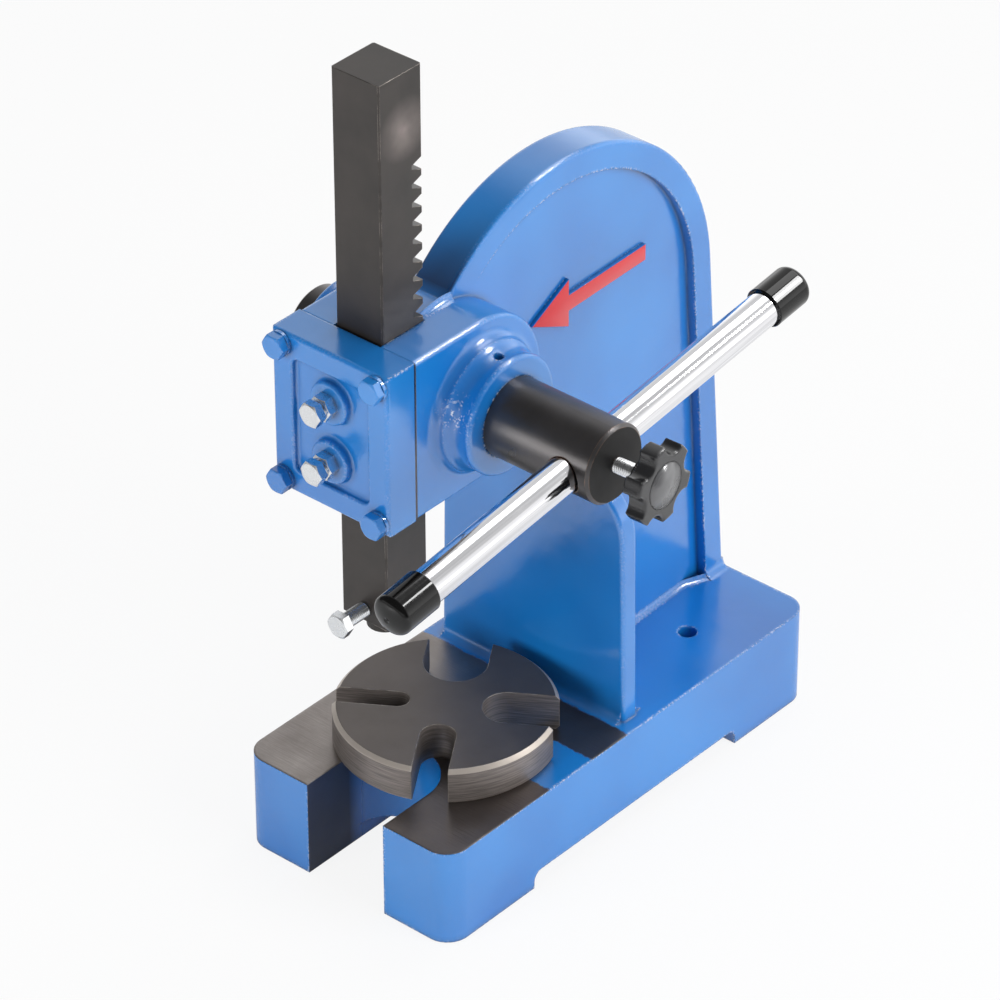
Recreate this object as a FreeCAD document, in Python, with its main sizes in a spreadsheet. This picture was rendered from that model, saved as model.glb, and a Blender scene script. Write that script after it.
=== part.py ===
import FreeCAD, Part
import math
import os
from types import SimpleNamespace

import Sketcher
from FreeCAD import Placement, Rotation, Vector

# A bench arbor press with a sliding lever bar, in millimetres.
# +Z is up, the operator stands on the -Y side and the lever is on the +X side.
# The origin is on the bench, midway between the two bench bolt holes.

doc = FreeCAD.newDocument("ArborPress")
sheet = doc.addObject("Spreadsheet::Sheet", "Sizes")

# Driving dimensions: name, value, what it is.
SIZES = [
    ("base_width", 150, "width of the base across the two front prongs"),
    ("base_behind_web", 1.1, "heel of the web to the back of the base"),
    ("base_height", 60, "bench to the machined bed"),
    ("base_reach", 35, "how far the prongs reach in front of the ram axis"),
    ("base_corner", 14, "plan radius of the base corners"),
    ("base_wall", 12, "side walls of the hollow base"),
    ("deck_thickness", 15, "top wall of the hollow base"),
    ("bed_slot_width", 55, "width of the open slot between the prongs"),
    ("bed_slot_past_ram", 2, "ram axis to the centre of the slot's round end"),
    ("front_foot_length", 70, "front foot, along the base"),
    ("rear_foot_length", 66, "rear foot, along the base"),
    ("arch_height", 10, "gap under the base between the feet"),
    ("arch_corner", 6, "radius at both ends of the arch"),
    ("bolt_to_ram", 210, "bench bolts to the ram axis"),
    ("bolt_spacing", 77, "distance between the two bench bolts"),
    ("bolt_hole", 11, "diameter of the bench bolt holes"),
    ("bolt_pillar", 27, "diameter of the cast pillars round those holes"),
    ("pivot_solid", 19, "solid bed round the plate pivot, from its centre"),
    ("throat_depth", 120, "ram axis to the front face of the column flange"),
    ("flange_thickness", 12.2, "column flange"),
    ("flange_foot_width", 133, "column flange at the bed"),
    ("flange_width", 129, "column flange at its shoulders"),
    ("flange_shoulder", 178, "bench to the start of the shoulder radius"),
    ("flange_radius", 33, "shoulder radius of the column flange"),
    ("web_thickness", 25.5, "thickness of the web at its rim"),
    ("web_arc_reach", 131, "ram axis to the centre of the web's arc"),
    ("web_arc_height", 268, "bench to the centre of the web's arc"),
    ("web_arc_radius", 126.5, "outer radius of the web"),
    ("web_lean", 4.4, "lean of the web's back edge, degrees"),
    ("web_root_radius", 35, "radius under the head, at the top of the throat"),
    ("web_rim", 16, "width of the raised rim round the recess"),
    ("recess_tilt", 1.73, "slope of the recess floor, degrees"),
    ("recess_front", 58, "ram axis to the line where the recess starts"),
    ("head_width", 79.5, "width of the head and its cover"),
    ("head_height", 97, "height of the head and its cover"),
    ("pinion_height", 304, "bench to the pinion axis"),
    ("parting_offset", 18, "ram axis to the joint between head and cover"),
    ("boss_ring_radius", 37, "root ring of the pinion boss"),
    ("boss_ring_end", 45.5, "centre plane to the end of that ring"),
    ("boss_hollow_radius", 10, "hollow round the pinion boss, in its section"),
    ("boss_face_radius", 34, "outer end of the pinion boss"),
    ("boss_end", 61, "centre plane to the boss face"),
    ("boss_corner", 2.4, "corner radius of the boss's outer end"),
    ("oil_hole", 5.6, "diameter of the oil holes"),
    ("cover_depth", 21.8, "thickness of the ram cover"),
    ("cover_rim", 14, "rim round the cover's recessed field"),
    ("cover_recess", 3.4, "depth of that field"),
    ("cover_field_corner", 4, "corner radius of that field"),
    ("cover_fillet", 1.6, "casting fillets of the field and its bosses"),
    ("cover_boss", 25, "diameter of the two gib screw bosses"),
    ("cover_boss_height", 5, "height of those bosses above the field"),
    ("cover_bolt_inset_x", 6.8, "cover side to its bolts"),
    ("cover_bolt_inset_z", 7, "cover top or bottom to its bolts"),
    ("gib_screw_spacing", 36, "distance between the gib screws"),
    ("gib_width", 30, "gib strip width"),
    ("gib_length", 80, "gib strip length"),
    ("gib_thickness", 5, "gib strip thickness"),
    ("ram_side", 32, "square of the ram"),
    ("ram_length", 332, "length of the ram"),
    ("ram_rest", 172.5, "bench to the lower end of the ram, as it stands"),
    ("ram_edge", 0.8, "chamfer on the ram's long edges"),
    ("ram_plain_top", 57, "plain stretch above the rack"),
    ("rack_module", 3.5, "module of rack and pinion"),
    ("rack_phase", 0, "height of the nearest rack gap above the pinion axis"),
    ("rack_gaps", 17, "number of rack gaps"),
    ("pressure_angle", 20, "pressure angle, degrees"),
    ("nose_diameter", 20, "press nose in the ram's end"),
    ("nose_depth", 26, "depth of the nose's bore"),
    ("nose_show", 9.5, "how far the nose stands out of the ram"),
    ("nose_bolt_height", 7.5, "ram's end to the axis of the nose bolt"),
    ("nose_bolt_show", 16.7, "ram face to the seat of the nose bolt's head"),
    ("pinion_teeth", 11, "number of pinion teeth"),
    ("pinion_shift", 0.35, "profile shift of the pinion, in modules"),
    ("tooth_play", 0.45, "backlash between rack and pinion"),
    ("shaft_diameter", 45, "hub, right journal and outside of the teeth"),
    ("journal_diameter", 30, "left journal"),
    ("hub_end", 130.5, "centre plane to the end of the hub"),
    ("hub_chamfer", 1.6, "chamfer at the hub's end"),
    ("collar_width", 15.5, "width of the shaft collar"),
    ("collar_chamfer", 1, "chamfer of the shaft collar"),
    ("collar_screw_diameter", 6, "set screw of the collar"),
    ("lever_plane", 113.2, "centre plane to the lever bar's axis"),
    ("lever_diameter", 20, "lever bar"),
    ("lever_hole", 21.2, "cross hole in the hub for the bar"),
    ("lever_length", 322, "lever bar without its caps"),
    ("lever_angle", 7.6, "slope of the lever bar as it stands, degrees"),
    ("lever_offset", 7, "how far the bar stands out to the rear"),
    ("lever_chamfer", 1, "chamfer at the bar's ends"),
    ("cap_wall", 1.7, "wall of the bar's end caps"),
    ("cap_end", 3.6, "end thickness of the caps, at their middle"),
    ("cap_length", 28.2, "length of the caps"),
    ("cap_radius", 4.2, "corner radius of the caps"),
    ("cap_crown_slope", 25, "slope of the caps' crowned end at its corner, degrees"),
    ("cap_dimple", 1.9, "radius of the dimple in the caps' ends"),
    ("knob_gap", 14.5, "hub's end to the back of the knob"),
    ("knob_neck", 5.5, "length of the knob's neck"),
    ("knob_neck_diameter", 17, "neck behind the knob's lobes"),
    ("knob_thickness", 11.3, "thickness of the lobes"),
    ("knob_diameter", 45, "outside of the knob's lobes"),
    ("knob_lobes", 6, "number of lobes"),
    ("scallop_radius", 8, "radius of the hollows between the lobes"),
    ("scallop_centre", 25, "knob axis to the centre of those hollows"),
    ("knob_round", 1.5, "edge radius of the knob"),
    ("knob_phase", 40, "turn of the knob as it stands, degrees"),
    ("knob_cap_diameter", 26.2, "disc in the knob's face"),
    ("knob_cap_seat", 1.5, "depth of the disc's seat"),
    ("knob_cap_dome", 3.4, "height of the disc at its middle"),
    ("stud_length", 32, "stud of the lock knob"),
    ("stud_lean", 2.7, "lean of the stud towards the rear, degrees"),
    ("plate_reach", 48, "ram axis to the centre of the arbor plate"),
    ("plate_diameter", 125, "arbor plate"),
    ("plate_thickness", 22.5, "arbor plate"),
    ("plate_chamfer", 2.2, "chamfers of the plate's rim"),
    ("plate_slot_tip", 20, "plate centre to the tips of its slots"),
    ("plate_turn", 33, "turn of the plate as it stands, degrees"),
    ("plate_slot_one", 13.5, "narrowest plate slot"),
    ("plate_slot_two", 20, "second plate slot"),
    ("plate_slot_three", 28, "third plate slot"),
    ("plate_slot_four", 36, "widest plate slot"),
    ("pin_diameter", 12, "pivot pin of the arbor plate"),
    ("pin_depth", 20, "pivot pin in the bed"),
    ("pin_show", 12, "pivot pin in the plate"),
    ("screw_diameter", 8, "all hexagon bolts and the lock stud"),
    ("hex_flats", 13, "bolt heads and nuts across flats"),
    ("hex_head", 5.3, "height of the bolt heads"),
    ("hex_crown", 12, "flat face inside the turned corners of heads and nuts"),
    ("hex_crown_slope", 30, "slope of those corners, degrees"),
    ("nut_height", 6.5, "height of the lock nuts"),
    ("gib_screw_show", 8.7, "cover boss to the seat of the gib screw's head"),
    ("washer_diameter", 14.5, "washer under the cover bolts"),
    ("washer_thickness", 2, "thickness of those washers"),
    ("cover_bolt_grip", 20, "cover bolts in the head"),
    ("guide_clearance", 0.15, "ram in its slot, each side"),
    ("bore_clearance", 0.05, "shafts and pins in their bores, on the radius"),
    ("screw_clearance", 0.1, "screws in their threaded holes, on the radius"),
    ("screw_hole_clearance", 0.5, "bolts in their plain holes, on the radius"),
    ("end_clearance", 0.3, "end play between turning parts"),
    ("foot_radius", 6, "casting fillets at the column's foot"),
    ("edge_radius", 2.5, "rounding of the casting's outer edges"),
]


# ---------------------------------------------------------------- sizes and formulas

class Size:
    """A number together with the spreadsheet formula that gives it."""

    def __init__(self, value, text):
        self.value = float(value)
        self.text = text

    def join(self, other, sign, value):
        return Size(value, f"({self.text} {sign} {formula(other)})")

    def __add__(self, other):
        return self.join(other, "+", self.value + number(other))

    def __radd__(self, other):
        return self + other

    def __sub__(self, other):
        return self.join(other, "-", self.value - number(other))

    def __rsub__(self, other):
        return -self + other

    def __mul__(self, other):
        return self.join(other, "*", self.value * number(other))

    def __rmul__(self, other):
        return self * other

    def __truediv__(self, other):
        return self.join(other, "/", self.value / number(other))

    def __rtruediv__(self, other):
        return Size(number(other) / self.value, f"({formula(other)} / {self.text})")

    def __neg__(self):
        return Size(-self.value, f"(0 - {self.text})")


def number(size):
    return size.value if isinstance(size, Size) else float(size)


def formula(size):
    return size.text if isinstance(size, Size) else repr(float(size))


def root(size):
    return Size(math.sqrt(size.value), f"sqrt({size.text})")


def sine(angle):
    return Size(math.sin(math.radians(angle.value)), f"sin({angle.text} * 1 deg)")


def cosine(angle):
    return Size(math.cos(math.radians(angle.value)), f"cos({angle.text} * 1 deg)")


def tangent(angle):
    return Size(math.tan(math.radians(angle.value)), f"tan({angle.text} * 1 deg)")


def fill_sheet():
    """Write the driving dimensions to the sheet and return them by name."""
    named = {}
    for row, (name, value, note) in enumerate(SIZES, start=1):
        sheet.set(f"A{row}", name)
        sheet.set(f"B{row}", str(value))
        sheet.set(f"C{row}", note)
        sheet.setAlias(f"B{row}", name)
        named[name] = Size(value, f"Sizes.{name}")
    doc.recompute()
    return SimpleNamespace(**named)


d = fill_sheet()


# ---------------------------------------------------------------- places shared by the parts

ram_y = -d.bolt_to_ram
base_front = ram_y - d.base_reach
web_centre_y = ram_y + d.web_arc_reach
web_centre_z = d.web_arc_height
web_tangent_y = web_centre_y + d.web_arc_radius * cosine(d.web_lean)
web_tangent_z = web_centre_z + d.web_arc_radius * sine(d.web_lean)
heel_y = web_tangent_y + (web_tangent_z - d.base_height) * tangent(d.web_lean)
base_back = heel_y + d.base_behind_web
column_front = ram_y + d.throat_depth
column_back = column_front + d.flange_thickness
parting_y = ram_y - d.parting_offset
cover_front = parting_y - d.cover_depth
cover_field = cover_front + d.cover_recess
cover_boss_face = cover_field - d.cover_boss_height
ram_face = ram_y - d.ram_side / 2
ram_back = ram_y + d.ram_side / 2
pitch_radius = d.rack_module * d.pinion_teeth / 2
pinion_y = ram_back - d.rack_module + pitch_radius + d.pinion_shift * d.rack_module
pinion_z = d.pinion_height
head_bottom = pinion_z - d.head_height / 2
head_top = pinion_z + d.head_height / 2
rack_pitch = d.rack_module * math.pi
gib_front = ram_face - d.guide_clearance - d.gib_thickness
plate_y = ram_y + d.plate_reach
plate_top = d.base_height + d.plate_thickness
shaft_radius = d.shaft_diameter / 2
journal_radius = d.journal_diameter / 2
screw_radius = d.screw_diameter / 2
tooth_half_width = d.ram_side / 2 + d.end_clearance * 2
shoulder_x = -tooth_half_width
collar_inner_x = -d.boss_end - d.end_clearance
collar_outer_x = collar_inner_x - d.collar_width
cavity_height = d.base_height - d.deck_thickness


# ---------------------------------------------------------------- drawing helpers

def bind(thing, path, size):
    """Tie one property to its formula in the sheet."""
    thing.setExpression(path, formula(size))


def origin_plane(body, role):
    return next(f for f in body.Origin.OriginFeatures if f.Role == role)


def new_body(name):
    body = doc.addObject("PartDesign::Body", name)
    body.Label = name
    return body


def new_sketch(body, name, plane, at=(0, 0, 0), turn_axis=None, turn=None):
    """Make a sketch on an origin plane, shifted by `at` and turned in that plane's own axes."""
    sketch = body.newObject("Sketcher::SketchObject", name)
    sketch.AttachmentSupport = [(origin_plane(body, plane), "")]
    sketch.MapMode = "FlatFace"
    rotation = Rotation()
    if turn is not None:
        rotation = Rotation(turn_axis, number(turn))
    sketch.AttachmentOffset = Placement(Vector(*[number(part) for part in at]), rotation)
    for axis, part in zip("xyz", at):
        bind(sketch, f"AttachmentOffset.Base.{axis}", part)
    if turn is not None:
        bind(sketch, "AttachmentOffset.Rotation.Angle", turn)
    return sketch


def dimension(sketch, kind, geometry, point, size):
    """Measure one coordinate of a point from the sketch's origin."""
    index = sketch.addConstraint(Sketcher.Constraint(kind, -1, 1, geometry, point, number(size)))
    if isinstance(size, Size):
        bind(sketch, f"Constraints[{index}]", size)


def draw_outline(sketch, corners):
    """Draw a closed outline through corners (x, y).

    A corner (x, y, radius) is reached by an arc: a positive radius turns left, a negative one
    right.
    """
    ends = []
    for index, corner in enumerate(corners):
        before = corners[index - 1]
        start = Vector(number(before[0]), number(before[1]), 0)
        end = Vector(number(corner[0]), number(corner[1]), 0)
        if len(corner) == 2:
            line = sketch.addGeometry(Part.LineSegment(start, end))
            ends.append((line, 1, 2))
            continue
        radius = number(corner[2])
        chord = end - start
        left = Vector(-chord.y, chord.x, 0).normalize()
        rise = math.sqrt(max(radius ** 2 - (chord.Length / 2) ** 2, 0))
        centre = (start + end) / 2 + left * math.copysign(rise, radius)
        circle = Part.Circle(centre, Vector(0, 0, 1), abs(radius))
        first, last = (start, end) if radius > 0 else (end, start)
        angles = [math.atan2(p.y - centre.y, p.x - centre.x) for p in (first, last)]
        if angles[1] < angles[0]:
            angles[1] += 2 * math.pi
        arc = sketch.addGeometry(Part.ArcOfCircle(circle, *angles))
        ends.append((arc, 1, 2) if radius > 0 else (arc, 2, 1))
    for index, (geometry, first, last) in enumerate(ends):
        following = ends[(index + 1) % len(ends)]
        sketch.addConstraint(
            Sketcher.Constraint("Coincident", geometry, last, following[0], following[1]))
        dimension(sketch, "DistanceX", geometry, last, corners[index][0])
        dimension(sketch, "DistanceY", geometry, last, corners[index][1])
        if len(corners[index]) == 3:
            size = corners[index][2]
            size = size if number(size) > 0 else -size
            radius = sketch.addConstraint(Sketcher.Constraint("Radius", geometry, number(size)))
            bind(sketch, f"Constraints[{radius}]", size)


def draw_circles(sketch, circles):
    for x, y, radius in circles:
        centre = Vector(number(x), number(y), 0)
        circle = sketch.addGeometry(Part.Circle(centre, Vector(0, 0, 1), number(radius)))
        dimension(sketch, "DistanceX", circle, 3, x)
        dimension(sketch, "DistanceY", circle, 3, y)
        size = sketch.addConstraint(Sketcher.Constraint("Radius", circle, number(radius)))
        bind(sketch, f"Constraints[{size}]", radius)


def outline(body, name, plane, corners, at=(0, 0, 0), turn_axis=None, turn=None):
    sketch = new_sketch(body, name, plane, at, turn_axis, turn)
    draw_outline(sketch, corners)
    return sketch


def circles(body, name, plane, rings, at=(0, 0, 0)):
    sketch = new_sketch(body, name, plane, at)
    draw_circles(sketch, rings)
    return sketch


def rectangle(left, bottom, right, top):
    return [(left, bottom), (right, bottom), (right, top), (left, top)]


def rounded_rectangle(left, bottom, right, top, radius):
    return [
        (right - radius, bottom), (right, bottom + radius, radius),
        (right, top - radius), (right - radius, top, radius),
        (left + radius, top), (left, top - radius, radius),
        (left, bottom + radius), (left + radius, bottom, radius),
    ]


def extrude(kind, body, sketch, length, backwards=False, both_sides=False):
    """Pad or pocket a sketch; `backwards` turns the feature's usual direction round."""
    feature = body.newObject(kind, sketch.Name + kind.split("::")[1])
    feature.Profile = sketch
    feature.Reversed = backwards
    feature.SideType = "Symmetric" if both_sides else "One side"
    feature.Length = number(length)
    bind(feature, "Length", length)
    sketch.Visibility = False
    volume = solid_volume(body)
    doc.recompute()
    changed = solid_volume(body) - volume
    if kind.endswith("Pad") and changed <= 0 or kind.endswith("Pocket") and changed >= 0:
        raise RuntimeError(f"{feature.Name} changes nothing")
    return feature


def solid_volume(body):
    return 0 if body.Shape.isNull() else body.Shape.Volume


def pad(body, sketch, length, **options):
    return extrude("PartDesign::Pad", body, sketch, length, **options)


def pocket(body, sketch, length, **options):
    return extrude("PartDesign::Pocket", body, sketch, length, **options)


def revolve(body, sketch, axis):
    feature = body.newObject("PartDesign::Revolution", sketch.Name + "Turned")
    feature.Profile = sketch
    feature.ReferenceAxis = (sketch, [axis])
    feature.Angle = 360
    doc.recompute()
    return feature


def mirror(body, feature):
    """Repeat a feature on the other side of the centre plane."""
    copy = body.newObject("PartDesign::Mirrored", feature.Name + "Mirrored")
    copy.Originals = [feature]
    copy.MirrorPlane = (origin_plane(body, "YZ_Plane"), [""])
    body.Tip = copy
    doc.recompute()
    return copy


def round_edges(body, name, radius, wanted, kind="PartDesign::Fillet"):
    """Round (or chamfer) the edges of the body for which `wanted` is true."""
    edges = [f"Edge{i}" for i, edge in enumerate(body.Shape.Edges, start=1) if wanted(edge)]
    if not edges:
        raise RuntimeError(f"{name} finds no edge")
    base = body.Tip
    feature = body.newObject(kind, name)
    feature.Base = (base, edges)
    path = "Radius" if kind.endswith("Fillet") else "Size"
    setattr(feature, path, number(radius))
    bind(feature, path, radius)
    doc.recompute()
    if not feature.isValid():
        raise RuntimeError(f"{name} fails")
    return feature


def lies_on(edge, axis, size, reach=0.02):
    """True if the whole edge lies in the plane where `axis` equals `size`."""
    box = edge.BoundBox
    low, high = getattr(box, axis + "Min"), getattr(box, axis + "Max")
    return abs(low - number(size)) < reach and abs(high - number(size)) < reach


def put(thing, place, turn_axis=Vector(0, 0, 1), turn=0):
    """Give an object its bound place and its turn."""
    spot = Vector(*[number(part) for part in place])
    thing.Placement = Placement(spot, Rotation(turn_axis, number(turn)))
    for axis, part in zip("xyz", place):
        bind(thing, f"Placement.Base.{axis}", part)
    if isinstance(turn, Size):
        bind(thing, "Placement.Rotation.Angle", turn)
    return thing


def cylinder(name, radius, height, place=(0, 0, 0), turn_axis=Vector(0, 0, 1), turn=0):
    solid = doc.addObject("Part::Cylinder", name)
    bind(solid, "Radius", radius)
    bind(solid, "Height", height)
    return put(solid, place, turn_axis, turn)


def hexagon(name, height):
    """A bolt head or nut from Z = 0 upwards, its top corners turned off to a cone."""
    prism = doc.addObject("Part::Prism", name + "_prism")
    prism.Polygon = 6
    bind(prism, "Circumradius", d.hex_flats / root(Size(3, "3")))
    bind(prism, "Height", height)
    crown = d.hex_crown / 2
    cone = doc.addObject("Part::Cone", name + "_cone")
    bind(cone, "Radius1", crown + height / tangent(d.hex_crown_slope))
    bind(cone, "Radius2", crown)
    bind(cone, "Height", height)
    solid = doc.addObject("Part::MultiCommon", name)
    solid.Shapes = [prism, cone]
    return solid


def join(name, solids):
    joined = doc.addObject("Part::MultiFuse", name)
    joined.Shapes = solids
    joined.Label = name
    return joined


def cut(name, base, tool):
    result = doc.addObject("Part::Cut", name)
    result.Base = base
    result.Tool = tool
    result.Label = name
    return result


def group(name, solids):
    """Keep identical fasteners together as separate solids of one node."""
    bundle = doc.addObject("Part::Compound", name)
    bundle.Links = solids
    bundle.Label = name
    return bundle


FORWARD = dict(turn_axis=Vector(1, 0, 0), turn=90)   # local +Z points to -Y


# ---------------------------------------------------------------- frame casting

def frame_base(body):
    """The footed base with its open slot, hollow underneath."""
    side = d.base_width / 2
    slot = d.bed_slot_width / 2
    corner = d.base_corner
    slot_end = ram_y + d.bed_slot_past_ram
    plan = outline(body, "BasePlan", "XY_Plane", [
        (slot, base_front),
        (side - corner, base_front),
        (side, base_front + corner, corner),
        (side, base_back - corner),
        (side - corner, base_back, corner),
        (-side + corner, base_back),
        (-side, base_back - corner, corner),
        (-side, base_front + corner),
        (-side + corner, base_front, corner),
        (-slot, base_front),
        (-slot, slot_end),
        (Size(0, "0"), slot_end + slot, -slot),
        (slot, slot_end, -slot),
    ])
    pad(body, plan, d.base_height)

    arch_front = base_front + d.front_foot_length
    arch_back = base_back - d.rear_foot_length
    arch = outline(body, "Arch", "YZ_Plane", [
        (arch_front, 0),
        (arch_back, 0),
        (arch_back, d.arch_height - d.arch_corner),
        (arch_back - d.arch_corner, d.arch_height, d.arch_corner),
        (arch_front + d.arch_corner, d.arch_height),
        (arch_front, d.arch_height - d.arch_corner, d.arch_corner),
    ])
    pocket(body, arch, d.base_width * 2, both_sides=True)

    passage = outline(body, "SlotPassage", "XY_Plane", rectangle(
        -slot, slot_end, slot, arch_front + d.arch_corner))
    pocket(body, passage, d.arch_height, backwards=True)

    wall = side - d.base_wall
    prong = slot + d.base_wall
    middle = plate_y + d.pivot_solid
    front = base_front + d.base_wall
    hollow = outline(body, "Hollow", "XY_Plane", [
        (prong, front),
        (wall, front),
        (wall, base_back - d.base_wall),
        (-wall, base_back - d.base_wall),
        (-wall, front),
        (-prong, front),
        (-prong, middle),
        (prong, middle),
    ])
    pocket(body, hollow, cavity_height, backwards=True)

    half = d.bolt_spacing / 2
    pillars = circles(body, "Pillars", "XY_Plane", [
        (half, 0, d.bolt_pillar / 2),
        (-half, 0, d.bolt_pillar / 2),
    ])
    pad(body, pillars, cavity_height)
    holes = circles(body, "BenchHoles", "XY_Plane", [
        (half, 0, d.bolt_hole / 2),
        (-half, 0, d.bolt_hole / 2),
    ])
    pocket(body, holes, d.base_height, backwards=True)


def frame_column(body):
    """The web with its tilted recesses, and the flange across its front."""
    lean = d.web_lean
    bed = d.base_height
    sunk = bed - d.deck_thickness / 2
    inside_head = pinion_y - d.rack_module
    start_z = pinion_z + d.head_height / 3
    start_y = web_centre_y - root(d.web_arc_radius * d.web_arc_radius
                                  - (start_z - web_centre_z) * (start_z - web_centre_z))
    edge_y = column_front + d.flange_thickness / 2
    edge_z = head_bottom + d.web_rim / 2
    web = outline(body, "Web", "YZ_Plane", [
        (web_tangent_y + (web_tangent_z - sunk) * tangent(lean), sunk),
        (web_tangent_y, web_tangent_z),
        (start_y, start_z, d.web_arc_radius),
        (inside_head, edge_z),
        (edge_y - d.web_root_radius, edge_z),
        (edge_y, edge_z - d.web_root_radius, -d.web_root_radius),
        (edge_y, sunk),
    ])
    pad(body, web, d.web_thickness, both_sides=True)

    inner = d.web_arc_radius - d.web_rim
    front_y = ram_y + d.recess_front
    top_z = web_centre_z + root(inner * inner
                                - (front_y - web_centre_y) * (front_y - web_centre_y))
    side_y = web_centre_y + inner * cosine(lean)
    side_z = web_centre_z + inner * sine(lean)
    floor_x = d.web_thickness / 2 + front_y * tangent(d.recess_tilt)
    recess = outline(body, "Recess", "YZ_Plane", [
        (front_y, bed),
        (side_y + (side_z - bed) * tangent(lean), bed),
        (side_y, side_z),
        (front_y, top_z, inner),
    ], at=(0, 0, floor_x), turn_axis=Vector(0, 1, 0), turn=d.recess_tilt)
    mirror(body, pocket(body, recess, d.web_thickness / 2, backwards=True))

    foot = d.flange_foot_width / 2
    half = d.flange_width / 2
    shoulder = d.flange_shoulder
    radius = d.flange_radius
    flange = outline(body, "Flange", "XZ_Plane", [
        (-foot, sunk),
        (foot, sunk),
        (half, shoulder),
        (half - radius, shoulder + radius, radius),
        (-half + radius, shoulder + radius),
        (-half, shoulder, radius),
    ], at=(0, 0, -column_front))
    pad(body, flange, d.flange_thickness, backwards=True)


def frame_feet(body):
    """The fillets where the flange and the web's rim stand on the bed."""
    wall_foot(body, "FlangeFoot", "YZ_Plane", column_front, column_back, d.flange_width)
    half = d.web_thickness / 2
    rim_middle = heel_y - d.web_rim / 2 - d.foot_radius * tangent(d.web_lean)
    wall_foot(body, "RimFoot", "XZ_Plane", -half, half, d.web_rim, at=(0, 0, -rim_middle))


def wall_foot(body, name, plane, low, high, length, at=(0, 0, 0)):
    """A fillet on both sides of a wall that reaches from `low` to `high` across the plane."""
    bed = d.base_height
    sunk = bed - d.deck_thickness / 2
    radius = d.foot_radius
    foot = outline(body, name, plane, [
        (low - radius, sunk),
        (high + radius, sunk),
        (high + radius, bed),
        (high, bed + radius, -radius),
        (low, bed + radius),
        (low - radius, bed, -radius),
    ], at=at)
    pad(body, foot, length, both_sides=True)


def frame_head(body):
    """The head block with its round back and the two hollowed pinion bosses."""
    radius = d.head_height / 2
    head = outline(body, "Head", "YZ_Plane", [
        (parting_y, head_bottom),
        (pinion_y, head_bottom),
        (pinion_y + radius, pinion_z, radius),
        (pinion_y, head_top, radius),
        (parting_y, head_top),
    ])
    pad(body, head, d.head_width, both_sides=True)
    round_edges(body, "HeadEdges", d.edge_radius, head_edge)

    inside = d.head_width / 4
    side = d.head_width / 2
    cove = d.boss_ring_end - side
    boss = outline(body, "Boss", "XZ_Plane", [
        (inside, 0),
        (d.boss_end, 0),
        (d.boss_end, d.boss_face_radius - d.boss_corner),
        (d.boss_end - d.boss_corner, d.boss_face_radius, d.boss_corner),
        (d.boss_ring_end, d.boss_ring_radius, -d.boss_hollow_radius),
        (side, d.boss_ring_radius + cove, -cove),
        (inside, d.boss_ring_radius + cove),
    ], at=(0, pinion_z, -pinion_y))
    mirror(body, revolve(body, boss, "H_Axis"))


def head_edge(edge):
    """The long edges of the head's two side faces, apart from the joint with the cover."""
    side = d.head_width / 2
    if not (lies_on(edge, "X", side) or lies_on(edge, "X", -side)):
        return False
    return not lies_on(edge, "Y", parting_y)


def frame_bores(body):
    """The ram's slot, the pinion bores and the screw, oil and pivot holes."""
    guide = d.ram_side / 2 + d.guide_clearance
    slot = outline(body, "RamSlot", "XY_Plane", rectangle(
        -guide, parting_y - 1, guide, ram_back + d.guide_clearance),
        at=(0, 0, head_top + 1))
    pocket(body, slot, d.head_height + 2)

    right = circles(body, "RightBore", "YZ_Plane", [
        (pinion_y, pinion_z, shaft_radius + d.bore_clearance)],
        at=(0, 0, shoulder_x - d.end_clearance))
    pocket(body, right, d.boss_end * 2, backwards=True)
    left = circles(body, "LeftBore", "YZ_Plane", [
        (pinion_y, pinion_z, journal_radius + d.bore_clearance)])
    pocket(body, left, d.boss_end * 2)

    tapped = circles(body, "TappedHoles", "XZ_Plane", [
        (x, z, screw_radius + d.screw_clearance) for x, z in cover_bolt_places()],
        at=(0, 0, -parting_y))
    pocket(body, tapped, d.cover_bolt_grip + d.cover_bolt_inset_z)

    oil_x = (d.boss_ring_end + d.boss_end - d.boss_corner) / 2
    oil = circles(body, "OilHoles", "XY_Plane", [
        (oil_x, pinion_y, d.oil_hole / 2),
        (-oil_x, pinion_y, d.oil_hole / 2)],
        at=(0, 0, pinion_z + d.boss_face_radius))
    pocket(body, oil, d.boss_face_radius - journal_radius)

    pivot = circles(body, "PivotHole", "XY_Plane", [
        (0, plate_y, d.pin_diameter / 2 + d.bore_clearance)],
        at=(0, 0, d.base_height))
    pocket(body, pivot, d.pin_depth)


def cover_bolt_places():
    """Where the four cover bolts stand, as (x, z)."""
    x = d.head_width / 2 - d.cover_bolt_inset_x
    z = d.head_height / 2 - d.cover_bolt_inset_z
    return [(sign_x * x, pinion_z + sign_z * z) for sign_z in (1, -1) for sign_x in (-1, 1)]


def web_edge(edge):
    """The outer edge of the web's rim, above the head and down the back."""
    half = d.web_thickness / 2
    on_side = lies_on(edge, "X", half) or lies_on(edge, "X", -half)
    if not on_side or lies_on(edge, "Z", d.base_height):
        return False
    box = edge.BoundBox
    middle = edge.valueAt((edge.FirstParameter + edge.LastParameter) / 2)
    distance = math.hypot(middle.y - number(web_centre_y), middle.z - number(web_centre_z))
    on_arc = abs(distance - number(d.web_arc_radius)) < 0.1
    down_back = box.YMin > number(web_tangent_y) - 0.1
    return on_arc or down_back


def flange_edge(edge):
    """The outline of the flange's two faces, above the bed."""
    on_face = lies_on(edge, "Y", column_front) or lies_on(edge, "Y", column_back)
    box = edge.BoundBox
    outside = max(abs(box.XMin), abs(box.XMax)) > number(d.flange_width / 2 - d.flange_radius)
    return on_face and outside and box.ZMax > number(d.base_height) + 1


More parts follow.
